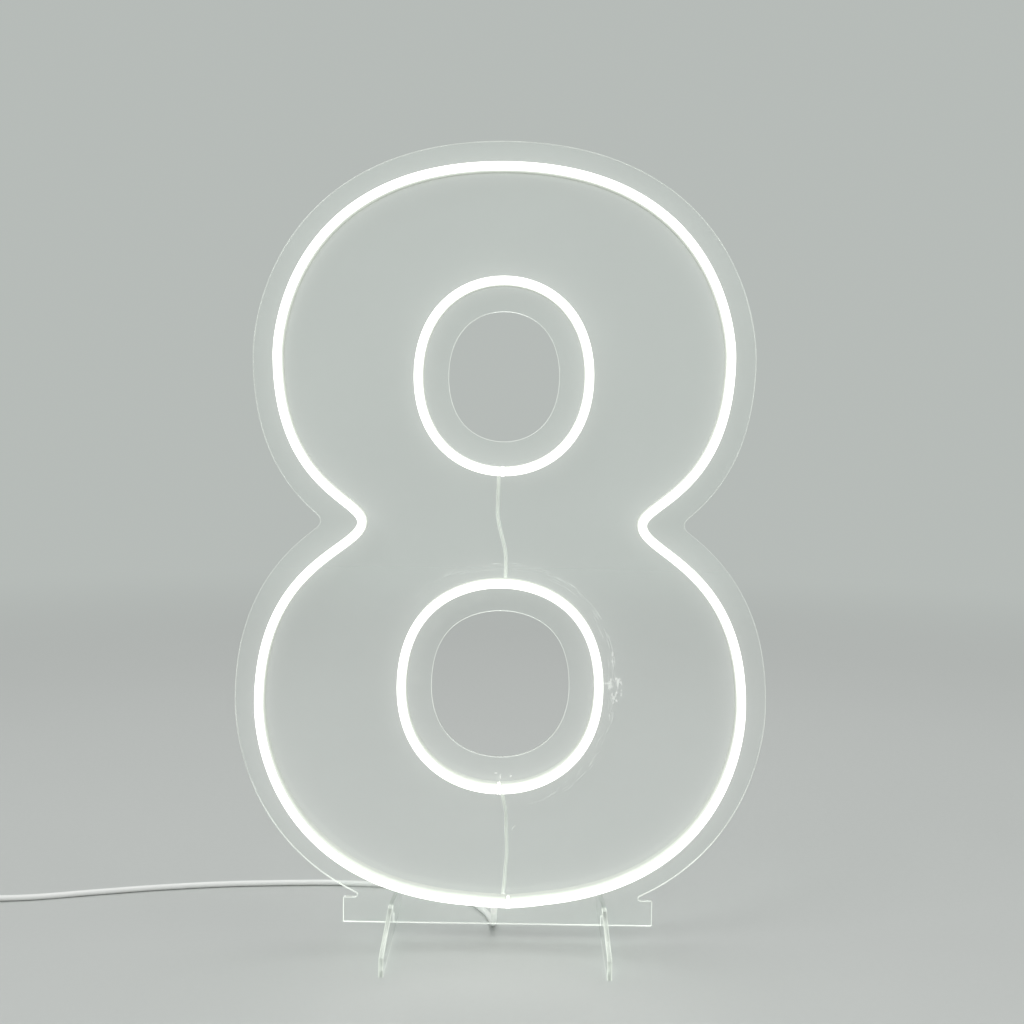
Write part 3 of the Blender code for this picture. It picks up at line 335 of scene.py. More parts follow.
def splice_frame():
    """Place of the shrink sleeve, whose origin is its lower end and whose Z runs up it, and the way out."""
    top_y = wire_back_y + splice_neck_radius * math.cos(splice_tilt)
    top_z = foot_z - feed_wire_length - seat_gap
    top_z -= (wire_back_y + 2 * core_radius - top_y) * math.tan(splice_tilt)
    axis = Vector((0.0, -math.sin(splice_tilt), math.cos(splice_tilt)))
    low = Vector((feed_wire_x, top_y, top_z)) - splice_length * axis
    return Matrix.Translation(low) @ Matrix.Rotation(splice_tilt, 4, "X"), low, -axis


print("sleeve's lower end in mm", [round(x / mm, 2) for x in splice_frame()[1]])

# %% [markdown]
# The points on the floor, and those where the lead rises to the adapter, were chosen. A
# Catmull-Rom curve joins them, as it passes through every one of its points.
# %% Points chosen
lead_by_hand = [
    (-0.0025, 0.0108, 0.0083),
    (-0.0028, 0.0155, 0.0045),
    (-0.0034, 0.0220, 0.0025),
    (-0.0048, 0.0310, 0.0022),
    (-0.0095, 0.0460, 0.0021),
    (-0.0205, 0.0650, 0.0021),
    (-0.0430, 0.0850, 0.0021),
    (-0.0750, 0.0960, 0.0021),
    (-0.1120, 0.0996, 0.0021),
    (-0.1560, 0.0975, 0.0021),
    (-0.2010, 0.0923, 0.0021),
    (-0.2450, 0.0830, 0.0021),
    (-0.2857, 0.0714, 0.0021),
    (-0.3300, 0.0585, 0.0021),
]
tail_by_hand = [
    (0.012, 0.0146),
    (0.024, 0.0096),
    (0.036, 0.0047),
    (0.046, 0.0026),
    (0.056, 0.0024),
    (0.066, 0.0042),
    (0.076, 0.0079),
]


def through_points(route, steps=24):
    """A Catmull-Rom curve through a route whose first and last steps stay straight."""
    route = np.array(route)
    t = np.linspace(0.0, 1.0, steps, endpoint=False)[:, None]
    runs = []
    for a, b, c, d in zip(route[:-3], route[1:-2], route[2:-1], route[3:]):
        square, cube = 2 * a - 5 * b + 4 * c - d, 3 * b - a - 3 * c + d
        runs.append((2 * b + (c - a) * t + square * t ** 2 + cube * t ** 3) / 2)
    return np.vstack([route[:1]] + runs + [route[-2:]])


print("by hand", len(lead_by_hand), "and", len(tail_by_hand), "points")

# %% [markdown]
# The coil is wound as a hand winds it: in layers, each of which runs in or out by a few turns before the
# lead climbs on top of it. The lowest layer lies on the tie.
# %% Coil
coil_x, coil_y = -386.0 * mm, 21.0 * mm
coil_mean_radius = 21.6 * mm
coil_start_turn = 0.28
coil_end_turn = 0.5
coil_whole_turns = 9
coil_layers = 4
coil_turns = coil_whole_turns + coil_end_turn - coil_start_turn
coil_turns_per_layer = coil_turns / coil_layers
coil_pitch = lead_diameter + 0.55 * mm
coil_spread = coil_turns_per_layer * coil_pitch
climb_turns = 0.5
floor_gap = 0.1 * mm
tie_thickness = 0.6 * mm
coil_rest_z = floor_gap + tie_thickness + seat_gap + lead_radius
coil_steps_per_turn = 48


def coil_points():
    """Loops in layers, with a short straight run at each end.

    The radius runs in and out as a triangle wave, and the height climbs wherever the radius turns back.
    """
    turns = np.linspace(0.0, coil_turns, int(coil_turns * coil_steps_per_turn) + 1)
    wave = np.abs((turns / coil_turns_per_layer + 1) % 2 - 1)
    radius = coil_mean_radius + coil_spread / 2 - wave * coil_spread
    layer = np.zeros(len(turns))
    for number in range(1, coil_layers):
        climb = turns - number * coil_turns_per_layer + climb_turns / 2
        layer += np.clip(climb / climb_turns, 0.0, 1.0)
    angle = 2 * math.pi * (coil_start_turn + turns)
    points = np.stack([
        coil_x + radius * np.cos(angle),
        coil_y + radius * np.sin(angle),
        coil_rest_z + layer * coil_pitch,
    ], axis=1)
    first, last = points[1] - points[0], points[-1] - points[-2]
    first[2] = last[2] = 0.0
    start = points[0] - lead_diameter * first / np.linalg.norm(first)
    end = points[-1] + lead_diameter * last / np.linalg.norm(last)
    return np.vstack([start, points, end])


print("coil", round(coil_turns, 2), "turns in", coil_layers, "layers")

# %% [markdown]
# The three runs are joined to one line, off the sleeve, round the coil and down to the adapter. Its points
# are then set at an even step, and a circle of the lead's radius is carried along it.
# %% The whole lead
tail_run = 92.0 * mm
relief_height = 10.5 * mm
relief_length = 20.0 * mm
tail_in_case = 4.0 * mm
lead_step = 2.0 * mm
lead_sides = 24


def lead_line():
    """The whole lead: off the sleeve, along the floor, round the coil and down to the adapter."""
    _, low, away = splice_frame()
    coil = coil_points()
    step = (coil[1] - coil[0]) / np.linalg.norm(coil[1] - coil[0])
    out = [tuple(low + seat_gap * away), tuple(low + lead_radius * away)] + lead_by_hand
    out += [tuple(coil[0] - 2 * lead_diameter * step), tuple(coil[0] - seat_gap * step)]
    end = coil[-1]
    direction = (end - coil[-2]) / np.linalg.norm(end - coil[-2])
    x, y, z = end + lead_diameter * direction
    tail = [tuple(end + seat_gap * direction), (x, y, z)]
    tail += [(x, y - run, height) for run, height in tail_by_hand]
    tail_end = end[1] - tail_run
    relief_end = tail_end - relief_length
    for y in (tail_end + lead_diameter, relief_end, relief_end - tail_in_case):
        tail.append((x, y, relief_height))
    return through_points(out), coil, through_points(tail)


free_run, coil_run, tail_run_points = lead_line()
lead_path = spaced(np.vstack([free_run, coil_run, tail_run_points]), lead_step)
lead_section = lead_radius * np.stack(full_turn(lead_sides), axis=1)
lead = swept("round_lead", lead_path, *level_frame(lead_path), lead_section)

# %% [markdown]
# ## Light tubes
# The tube is silicone drawn through a die: a flat back with a slit where the strip was pressed in, upright
# milky walls and a domed face that spreads the light. One section carried along the middle line gives it
# all. The small radii at the back corners are what catches the light on the real extrusion.
#
# The outer tube was bent by hand, and its two ends meet a little right of the middle in a very flat V. So
# its line is cut there, and sags towards the cut. The rings' ends meet in the middle.
# %% Section of the tube
tube_width = 6.0 * mm
tube_depth = 12.0 * mm
dome_depth = 2.6 * mm
channel_width = 4.4 * mm
channel_floor = 1.2 * mm
channel_depth = 3.2 * mm
slit_width = 1.0 * mm
back_corner = 0.45 * mm
joint_gap = 0.4 * mm
plug_thickness = 1.5 * mm
tube_end_x = joint_gap / 2 + plug_thickness + seat_gap
joint_places = {"outer": 6.9 * mm, "upper_ring": 0.0, "lower_ring": 0.0}
joint_sags = {"outer": 0.9 * mm, "upper_ring": 0.0, "lower_ring": 0.0}
sag_reach = 24.0 * mm


def arc(x, y, radius, start, end, count):
    """Points on an arc from one angle to another, in degrees, both ends included."""
    angle = np.radians(np.linspace(start, end, count))
    return np.stack([x + radius * np.cos(angle), y + radius * np.sin(angle)], axis=1)


def tube_outline(dome_points=25):
    """Outside of the section: back corners as quarter circles, walls, and a face of half an ellipse."""
    half = tube_width / 2
    wall = tube_depth - dome_depth
    angle = np.linspace(0.0, math.pi, dome_points)
    dome = np.stack([half * np.cos(angle), wall + dome_depth * np.sin(angle)], axis=1)
    corner = arc(half - back_corner, back_corner, back_corner, -90, 0, 5)
    right_side = np.vstack([corner, [(half, wall / 2)]])
    left_side = (right_side * (-1, 1))[::-1]
    return np.vstack([right_side, dome, left_side])


def tube_section():
    """The outline, and the way back through the slit and round the strip's channel."""
    channel, slit = channel_width / 2, slit_width / 2
    top = channel_floor + channel_depth
    inside = [(-slit, 0), (-slit, channel_floor), (-channel, channel_floor), (-channel, top),
              (channel, top), (channel, channel_floor), (slit, channel_floor), (slit, 0)]
    return np.vstack([tube_outline(), inside])


def sagged(name, places):
    """Points of a tube near its foot, lowered in proportion to how near they lie to its joint."""
    share = np.clip(1 - np.abs(places[:, 0] - joint_places[name]) / sag_reach, 0.0, 1.0)
    near_foot = places[:, 1] < figure_lines[name][0][1] + sag_reach
    return places - np.stack([0 * share, joint_sags[name] * share * near_foot], axis=1)


def tube_line(name, step=2.0 * mm, steps=300):
    """The open run of a tube: from the right of its joint, over its crown, to the left of its joint."""
    places, _ = bezier_line(figure_lines[name], steps)
    foot = np.vstack([places[steps - 1:0:-1] * (-1, 1), places[:steps]])
    ends = joint_places[name] + tube_end_x * np.array((1, -1))
    ends = np.stack([ends, np.interp(ends, foot[:, 0], foot[:, 1])], axis=1)
    loop = np.vstack([places, places[-2::-1] * (-1, 1), places[1:steps]])
    start = np.argmax(loop[:, 0] > ends[0, 0])
    stop = len(loop) - np.argmax(loop[::-1, 0] < ends[1, 0])
    return spaced(sagged(name, np.vstack([ends[:1], loop[start:stop], ends[1:]])), step)


def upright_frame(line):
    """A flat line at the tubes' back, its sideways vector along the board, and the way to the front."""
    path = np.insert(line, 1, tube_back_y, axis=1)
    side = np.cross(directions(path), (0.0, 1.0, 0.0))
    return path, side, np.broadcast_to((0.0, -1.0, 0.0), path.shape)


tubes = {}
for name in figure_lines:
    tubes[name] = swept(name + "_light_tube", *upright_frame(tube_line(name)), tube_section())
    print(name, "tube", len(tubes[name].data.polygons), "faces")

# %% [markdown]
# Each end is closed by a silicone plug, a thin disc of the tube's own outline with a peg in the channel.
# The plug's disc and peg are one surface: the outline, drawn in to the peg's size and pushed inwards.
# %% End plugs
peg_length = 2.0 * mm
peg_clearance = 0.5 * mm
plug_edge = 0.2 * mm
plugs = []


def peg_outline():
    """The peg's rectangle with as many points as the outline, each on the ray from the peg's middle."""
    middle = np.array((0.0, channel_floor + channel_depth / 2))
    half = np.array((channel_width / 2 - peg_clearance, channel_depth / 2 - peg_clearance))
    rays = tube_outline() - middle
    return middle + rays * (half / np.maximum(np.abs(rays), 1e-9)).min(axis=1)[:, None]


def end_plug(name, joint, to_side):
    """Rings of points from the face at the joint (x, z) inwards: outline, outline, peg, peg."""
    outline, peg = tube_outline(), peg_outline()
    middle = outline.mean(axis=0)
    small = middle + (outline - middle) * (1 - plug_edge / (tube_width / 2))
    near = joint_gap / 2
    far = near + plug_thickness
    rings = np.stack([small, outline, outline, peg, peg])
    away = np.array([near, near + plug_edge, far, far, far + peg_length])
    x = joint[0] + to_side * away[:, None] + 0 * rings[..., 0]
    return grid_piece(name, np.stack([x, tube_back_y - rings[..., 1], joint[1] + rings[..., 0]], axis=-1))


for name, knots in figure_lines.items():
    joint = sagged(name, np.array([(joint_places[name], knots[0][1])]))[0]
    for side_name, to_side in (("right", 1), ("left", -1)):
        plug = end_plug(f"{name}_plug_{side_name}", joint, to_side)
        plugs.append((plug, f"{name}_end_plug_{side_name}"))
print(len(plugs), "plugs")

# %% [markdown]
# ## Clear sheet
# The board and its feet are laser-cut from clear acrylic, 3 mm thick. What the eye finds of such a sheet is
# its cut edge, a thin line that gathers light, so the edge gets real roundings of a quarter of a
# millimetre and a surface of its own. A sheet is described by its loops, closed rows of flat points, and
# the sums on loops that are needed for it come first.
# %% Sums on loops
edge_round = 0.25 * mm


def drawn_in(loop, inset):
    """A closed loop moved to its left by inset, by the mitre of the two edges that meet at each point."""
    step = np.roll(loop, -1, axis=0) - loop
    normal = unit(np.stack([-step[:, 1], step[:, 0]], axis=1))
    before = np.roll(normal, 1, axis=0)
    mitre = (normal + before) / (1 + (normal * before).sum(axis=1))[:, None]
    return loop + inset * mitre


def signed_area(loop):
    """Half the sum of x * next y - y * next x, which is positive for a counter-clockwise loop."""
    x, y = loop[:, 0], loop[:, 1]
    return 0.5 * float(np.sum(x * np.roll(y, -1) - y * np.roll(x, -1)))


def nearest(points, others, at_a_time=400):
    """Distance from each point to the nearest of the others, worked out a few hundred points at a time."""
    parts = np.array_split(points, max(len(points) // at_a_time, 1))
    return np.concatenate([
        np.linalg.norm(part[:, None] - others[None], axis=2).min(axis=1) for part in parts])


def inside(points, loops):
    """Even-odd rule: a point is inside when a level ray from it crosses the loops an odd number of times.

    A loop's step crosses the ray when its ends lie above and below it, and its crossing lies further right.
    """
    crossings = np.zeros(len(points), int)
    x, y = points[:, :1], points[:, 1:]
    for loop in loops:
        x0, y0 = loop.T
        x1, y1 = np.roll(loop, -1, axis=0).T
        spans = (y0 > y) != (y1 > y)
        rise = np.where(y1 == y0, 1.0, y1 - y0)
        crossings += (spans & (x < x0 + (y - y0) / rise * (x1 - x0))).sum(axis=1)
    return crossings % 2 == 1


print("area of a unit square", signed_area(np.array([(0, 0), (1, 0), (1, 1), (0, 1)])))

# %% [markdown]
# Each loop gets a rim: the same loop drawn in and out along a quarter circle at the front and at the back.
# The flat faces between the loops are Delaunay triangles with points a few millimetres apart, so that each
# point can tell the finish how far it lies from a light tube.
# %% A sheet from its loops


def filled(loops, step, line):
    """Triangles between the loops. Inner points lie on the line and on staggered rows a step apart.

    A point of a row stays out where it would come closer than about half a step to the line or a loop.
    """
    edge = np.vstack(loops)
    low, high = edge.min(axis=0), edge.max(axis=0)
    rows = np.arange(low[1], high[1], step * math.sqrt(0.75))
    columns = np.arange(low[0], high[0], step)
    grid = np.array([(x + step / 2 * (number % 2), y) for number, y in enumerate(rows) for x in columns])
    if len(line):
        grid = np.vstack([line, grid[nearest(grid, line) > 0.5 * step]])
    grid = grid[nearest(grid, edge) > 0.6 * step]
    grid = grid[inside(grid, loops)]
    joined, start = [], 0
    for loop in loops:
        joined += [(start + i, start + (i + 1) % len(loop)) for i in range(len(loop))]
        start += len(loop)
    points = np.vstack([edge, grid])
    made, _, triangles, *_ = delaunay_2d_cdt([Vector(p) for p in points], joined, [], 0, 1e-7)
    assert len(made) == len(points), "the loops cross or touch"
    triangles = np.array(triangles)
    return grid, triangles[inside(points[triangles].mean(axis=1), loops)]


def sheet_piece(name, loops, to_space, step, line=()):
    """A plate from its outside loop and its holes. to_space takes flat points and a depth to 3-D.

    A loop's rim is rings from front to back, and the two faces between the rims share their triangles.
    """
    rim = [(edge_round * (1 - math.sin(a)), board_half - edge_round * (1 - math.cos(a)))
           for a in np.radians((0.0, 45.0, 90.0))]
    rim += [(inset, -depth) for inset, depth in reversed(rim)]
    vertices, faces, offset = [], [], 0
    front_loops, front_numbers, back_numbers = [], [], []
    for number, loop in enumerate(loops):
        if (signed_area(loop) > 0) == (number > 0):
            loop = loop[::-1]
        vertices += [to_space(drawn_in(loop, inset), depth) for inset, depth in rim]
        faces += grid_faces(len(rim), len(loop), False, offset)
        front_loops.append(drawn_in(loop, edge_round))
        front_numbers.append(offset + np.arange(len(loop)))
        offset += len(rim) * len(loop)
        back_numbers.append(offset - len(loop) + np.arange(len(loop)))
    rim_faces = len(faces)
    grid, triangles = filled(front_loops, step, line)
    vertices += [to_space(grid, board_half), to_space(grid, -board_half)]
    front = np.concatenate(front_numbers + [offset + np.arange(len(grid))])
    back = np.concatenate(back_numbers + [offset + len(grid) + np.arange(len(grid))])
    faces += front[triangles].tolist() + back[triangles[:, ::-1]].tolist()
    on_rim = np.arange(len(faces)) < rim_faces
    return finished(name, np.vstack(vertices), faces, on_rim, ~on_rim)


def put_distance(piece, label, axes, line):
    """Stores how far each point of a sheet lies from a line, seen square to the sheet."""
    points = np.array([vertex.co for vertex in piece.data.vertices])
    put_values(piece, label, nearest(points[:, axes], line))


print("edges rounded by", edge_round / mm, "mm")

# %% [markdown]
# The board's edge is one margin outside the outer tube. In the two waists, and where the lower lobe meets
# the foot bar, a cutter can't follow a sharp corner, so the edge there is an arc of the cutter's radius.
# %% Edge of the board round the figure
board_margin = 17.4 * mm
waist_extra = 1.7 * mm
waist_reach = 60.0 * mm
waist_notch = 5.0 * mm
shoulder_notch = 1.5 * mm
bar_top_z = board_lift + 16.7 * mm
edge_steps = 400
edge_stride = 3
clear_share = 0.99


def short_arc(centre, start_point, end_point, radius, count=13):
    """The short way round a centre from one point's direction to another's."""
    start = math.atan2(*(np.array(start_point) - centre)[::-1])
    end = math.atan2(*(np.array(end_point) - centre)[::-1])
    turn = (end - start + math.pi) % (2 * math.pi) - math.pi
    return arc(centre[0], centre[1], radius, math.degrees(start), math.degrees(start + turn), count)


def board_half_edge():
    """Right half of the edge, from the shoulder on the bar to the crown: line + margin * outward normal.

    The margin is a little wider at the waist. An edge point is kept where the cutter has room beside it,
    and arcs of the cutter's radius join the runs of kept points.
    """
    places, tangents = bezier_line(figure_lines["outer"], edge_steps)
    outward = np.stack([tangents[:, 1], -tangents[:, 0]], axis=1)
    margin = board_margin + waist_extra * np.exp(-((places[:, 1] - waist_z) / waist_reach) ** 2)
    edge = places + margin[:, None] * outward
    centres = edge + waist_notch * outward
    shoulder = edge + shoulder_notch * outward
    apart = np.linalg.norm(centres[:, None] - places[None], axis=2) - margin
    clear = apart.min(axis=1) > clear_share * waist_notch
    kept = np.flatnonzero(clear & (shoulder[:, 1] > bar_top_z + shoulder_notch))
    centre = shoulder[kept[0]]
    parts = [short_arc(centre, (centre[0], bar_top_z), edge[kept[0]], shoulder_notch)[:-1]]
    breaks = np.flatnonzero(np.diff(kept) > 1)
    runs = np.split(kept, breaks + 1)
    for number, run in enumerate(runs):
        parts.append(edge[np.append(run[:-1:edge_stride], run[-1])])
        if number + 1 < len(runs):
            after = runs[number + 1][0]
            centre = (centres[run[-1]] + centres[after]) / 2
            parts.append(short_arc(centre, edge[run[-1]], edge[after], waist_notch, 25)[1:-1])
    return np.vstack(parts)


figure_edge = board_half_edge()
print("edge", len(figure_edge), "points on each side")

# %% [markdown]
# Below the figure the edge runs on round the foot bar, with a slot for each foot. The two openings follow
# the rings as the edge follows the outer tube, and five small holes let the wires through.
# %% The contour board
opening_margin = 18.8 * mm
opening_stride = 4
bar_half_width = 101.0 * mm
bar_corner = 0.8 * mm
foot_x = 139.2 / 2 * mm
foot_slot_width = sheet_thickness + 2 * seat_gap
foot_slot_floor = 16.0 * mm
wire_hole_radius = 1.7 * mm
board_step = 4.5 * mm
lit_step = 3.0 * mm
middle_tolerance = 0.005 * mm


def bar_half_edge():
    """Right half of the foot bar: its foot slot, then the rounded corners of its end."""
    left, right = foot_x - foot_slot_width / 2, foot_x + foot_slot_width / 2
    top = foot_slot_floor + seat_gap / 2
    x = bar_half_width - bar_corner
    slot = [(left, board_lift), (left, top), (right, top), (right, board_lift)]
    return np.vstack([slot, arc(x, board_lift + bar_corner, bar_corner, -90, 0, 7),
                      arc(x, bar_top_z - bar_corner, bar_corner, 0, 90, 7)])


def mirrored(half):
    """A closed loop from its right half, which may start or end on the middle."""
    left = half[half[:, 0] > middle_tolerance][::-1] * (-1, 1)
    return np.vstack([half, left])


def opening_loop(knots):
    """The loop one opening margin inside a ring."""
    places, tangents = bezier_line(knots, edge_steps)
    inward = np.stack([-tangents[:, 1], tangents[:, 0]], axis=1)
    edge = (places + opening_margin * inward)[::opening_stride]
    edge[-1, 0] = 0.0
    return mirrored(edge)


wire_holes = {
    "upper_start": (-2.7 * mm, upper_ring_z - upper_ring_under),
    "upper_end": (2.5 * mm, lower_ring_z + lower_ring_over),
    "lower_start": (1.6 * mm, lower_ring_z - lower_ring_under),
    "lower_end": (3.6 * mm, foot_z),
    "feed": (feed_wire_x, foot_z),
}


def board_space(flat, depth):
    """Flat (x, z) points at a depth towards the front."""
    return np.insert(flat, 1, -depth, axis=1)


board_loops = [mirrored(np.vstack([bar_half_edge(), figure_edge]))]
board_loops += [opening_loop(figure_lines[name]) for name in ("upper_ring", "lower_ring")]
board_loops += [arc(x, z, wire_hole_radius, 0, 360, 33)[:-1] for x, z in wire_holes.values()]
lit_line = np.vstack([tube_line(name, lit_step) for name in figure_lines])
board = sheet_piece("contour_board", board_loops, board_space, board_step, lit_line)
put_distance(board, "from_tube", [0, 2], lit_line)
print("board", len(board.data.polygons), "faces,", len(board_loops) - 1, "openings and holes")

# %% [markdown]
# ## Feet
# Each foot is a plate that stands front to back, highest where it holds the board. Its slot is open at the
# top and the board's is open at the bottom, so the two halves lap like the cards of an egg box.
# %% The two feet
foot_half_length = 67.0 * mm
foot_crest_z = 22.0 * mm
foot_toe_z = 11.8 * mm
foot_crest_half = 5.0 * mm
foot_step = 6.0 * mm
foot_edge_step = 0.3 * mm
feet = {}


def foot_loop():
    """Outline (y, z) of a foot: toe, slope, crest and half the slot, mirrored front to back."""
    slot, floor = foot_slot_width / 2, foot_slot_floor - seat_gap / 2
    half = np.array([(slot, floor), (slot, foot_crest_z), (foot_crest_half, foot_crest_z),
                     (foot_half_length, foot_toe_z), (foot_half_length, 0.0)])
    return np.vstack([half[::-1] * (-1, 1), half])


def foot_space(middle_x):
    """Takes flat (y, z) points and a depth to a plate that stands front to back at middle_x."""
    return lambda flat, depth: np.insert(flat, 0, middle_x + depth, axis=1)


foot_edge_line = spaced(np.vstack([foot_loop(), foot_loop()[:1]]), foot_edge_step)
for side_name, to_side in (("left", -1), ("right", 1)):
    foot = sheet_piece(side_name + "_foot_plate", [foot_loop()], foot_space(to_side * foot_x), foot_step)
    put_distance(foot, "from_edge", [1, 2], foot_edge_line)
    feet[side_name] = foot
print("feet", [len(foot.data.polygons) for foot in feet.values()])

# %% [markdown]
# ## Wires on the back
# The rings get their current through flat twin-core wires, thin clear vinyl that is glued to the back of
# the board. A wire leaves a tube through a hole, bends at once, runs down the board in a lazy curve and
# bends into the next hole. Its section is two circles side by side.
# %% Flat twin-core wires
wire_bend = 1.3 * mm
wire_core_radius = 0.58 * mm
wire_run_y = wire_back_y + wire_core_radius
wire_step = 0.5 * mm


def twin_section(points=15, half_turn=144):
    """Two round cores side by side, as one outline: an arc of twice half_turn degrees for each core."""
    right_core = arc(wire_core_radius, 0.0, wire_core_radius, -half_turn, half_turn, points)
    left_core = arc(-wire_core_radius, 0.0, wire_core_radius, 180 - half_turn, 180 + half_turn, points)
    return np.vstack([right_core, left_core])


def wire_knots(points):
    """Knots from top to bottom, each with upright handles a third of the way to its neighbours."""
    knots = []
    for number, (x, z) in enumerate(points):
        above = points[max(number - 1, 0)][1] - z
        below = z - points[min(number + 1, len(points) - 1)][1]
        knots.append((x, z, (0.0, above / 3), (0.0, -below / 3)))
    return knots


def hole_bend(x, z, downwards):
    """The way out of a hole: from the board's front, straight back, then a quarter circle to the run."""
    turn = np.radians(np.linspace(0.0, 90.0, 9))
    y = np.concatenate([[-board_half, 0.0], wire_run_y - wire_bend + wire_bend * np.sin(turn)])
    fall = np.concatenate([[0.0, 0.0], wire_bend * (1 - np.cos(turn))])
    return np.stack([np.full(len(y), x), y, z - downwards * fall], axis=1)


def flat_wire(name, points, end_in_hole=True):
    """A twin-core wire: hole, run, hole. Its flat side faces the board all the way."""
    run, _ = bezier_line(wire_knots(points), 24)
    path = np.insert(run, 1, wire_run_y, axis=1)
    first_x, first_z = points[0][0], points[0][1] + wire_bend
    path = np.vstack([hole_bend(first_x, first_z, 1)[:-1], path])
    if end_in_hole:
        last_x, last_z = points[-1][0], points[-1][1] - wire_bend
        path = np.vstack([path, hole_bend(last_x, last_z, -1)[-2::-1]])
    path = spaced(path, wire_step)
    tangent = directions(path)
    side = unit(np.array((1.0, 0.0, 0.0)) - tangent[:, :1] * tangent)
    return swept(name, path, side, np.cross(side, tangent), twin_section())


def between_holes(start, end, middles):
    """Run points from just under one hole to just over the next, through the given middles."""
    (top_x, top_z), (low_x, low_z) = wire_holes[start], wire_holes[end]
    return [(top_x, top_z - wire_bend)] + middles + [(low_x, low_z + wire_bend)]


upper_middles = [(-3.1 * mm, 281.0 * mm), (2.6 * mm, 249.0 * mm)]
lower_middles = [(4.7 * mm, 82.0 * mm), (5.6 * mm, 57.0 * mm), (4.5 * mm, 41.5 * mm)]
upper_wire = flat_wire("upper_flat_wire", between_holes("upper_start", "upper_end", upper_middles))
lower_wire = flat_wire("lower_flat_wire", between_holes("lower_start", "lower_end", lower_middles))
feed_x, feed_z = wire_holes["feed"]
feed_points = [(feed_x, feed_z - wire_bend), (feed_x, feed_z - feed_wire_length)]
feed_wire = flat_wire("feed_flat_wire", feed_points, end_in_hole=False)
print("wires", [len(wire.data.polygons) for wire in (upper_wire, lower_wire, feed_wire)])

# %% [markdown]
# ## Shrink sleeve
# The flat wire is soldered to the round lead under a shrink sleeve, which keeps the shape of what it
# shrank on: flat and oval at the wire's end, round at the lead's, with two soft lumps at the joints.
# %% Shrink sleeve over the joint
sleeve_radius = 2.2 * mm
sleeve_flattening = 0.55 * mm
lump_height = 0.12 * mm
lump_shares = (0.35, 0.68)
lump_spread = 0.1
mouth_share = 0.04


def shrink_sleeve(rings=41, sides=48):
    """Rings along the sleeve, each an oval whose half width and half thickness follow the joint inside.

    A lump swells as exp(-distance^2), each mouth is drawn in as the root of the distance from its end, and
    the thickness falls with the square of the way up to the flat wire.
    """
    place, _, _ = splice_frame()
    share = np.linspace(0.0, 1.0, rings)
    cosine, sine = full_turn(sides)
    lump = lump_height * sum(np.exp(-((share - middle) / lump_spread) ** 2) for middle in lump_shares)
    mouth = np.minimum(1.0, np.minimum(share, 1 - share) / mouth_share) ** 0.5
    half_wide = sleeve_radius + lump - lump_height * (1 - mouth)
    half_thick = half_wide - sleeve_flattening * share ** 2
    x = half_wide[:, None] * cosine
    y = half_thick[:, None] * sine
    z = np.broadcast_to((share * splice_length)[:, None], x.shape)
    return grid_piece("shrink_sleeve", moved(np.stack([x, y, z], axis=-1), place))


sleeve = shrink_sleeve()
print("sleeve", len(sleeve.data.polygons), "faces")

# %% [markdown]
# ## Tie
# A soft strap holds the coil. It goes round the pile of turns as a rounded rectangle, its end lies over
# its start, and its edges are thin.
# %% Tie round the coil
tie_turn = 0.86
tie_width = 8.0 * mm
tie_edge = 0.15 * mm
tie_step = 0.5 * mm


def rounded_loop(width, length, radius, count=9):
    """A rectangle with quarter-circle corners, counter-clockwise from the right side's top."""
    x, y = width / 2 - radius, length / 2 - radius
    corners = [(x, y, 0), (-x, y, 90), (-x, -y, 180), (x, -y, 270)]
    return np.vstack([arc(cx, cy, radius, start, start + 90, count) for cx, cy, start in corners])


def strap():
    """A thin rectangle carried round the loop, in the plane that cuts the turns square."""
    clear = lead_radius + seat_gap + tie_thickness / 2
    width = coil_spread + 2 * clear
    height = (coil_layers - 1) * coil_pitch + 2 * clear
    corners = rounded_loop(width, height, lead_radius + tie_thickness / 2)
    loop = spaced(np.vstack([corners, corners[:1]]), tie_step)[:-1]
    step = directions(np.vstack([loop[-1:], loop, loop[:1]]))[1:-1]
    out = np.stack([step[:, 1], -step[:, 0]], axis=1)
    angle = 2 * math.pi * tie_turn
    x = coil_x + coil_mean_radius * math.cos(angle)
    y = coil_y + coil_mean_radius * math.sin(angle)
    z = floor_gap + tie_thickness / 2 + height / 2
    place = Matrix.Translation((x, y, z))
    place = place @ Matrix.Rotation(angle, 4, "Z") @ Matrix.Rotation(math.radians(90.0), 4, "X")
    level = np.array(place)[:3, :3]
    path = moved(np.column_stack([loop, np.zeros(len(loop))]), place)
    outwards = np.column_stack([out, np.zeros(len(out))]) @ level.T
    across = np.broadcast_to(level[:, 2], path.shape)
    section = rounded_loop(tie_thickness, tie_width, tie_edge, 4)
    return swept("coil_strap", path, outwards, across, section, closed=True)


tie = strap()
print("strap", len(tie.data.polygons), "faces")

# %% [markdown]
# ## Adapter
# The adapter is a small two-shell plug of moulded plastic. Each shell is a stack of rounded rectangles:
# from the middle of its flat, round the edge, up the wall, over the rim and back down inside. A lip on
# the lid drops into the tray, which leaves the fine groove that goes round such a case.
# %% Shells of the adapter
case_width, case_length = 40.0 * mm, 66.0 * mm
tray_height, lid_height = 21.0 * mm, 8.0 * mm
case_wall = 2.0 * mm
case_corner = 5.0 * mm
smallest_corner = 0.3 * mm
case_edge = 0.35 * mm
lip_inset = case_wall + seat_gap
lip_height = 1.6 * mm
lip_thickness = 0.9 * mm
lid_base_z = tray_height + seat_gap


def adapter_place():
    """The adapter's origin, under the middle of its back, with +Y towards its lead."""
    end = coil_run[-1]
    direction = (end - coil_run[-2]) / np.linalg.norm(end - coil_run[-2])
    x = end[0] + lead_diameter * direction[0]
    y = end[1] - tail_run - relief_length - case_length / 2
    return Matrix.Translation((x, y, 0.0))


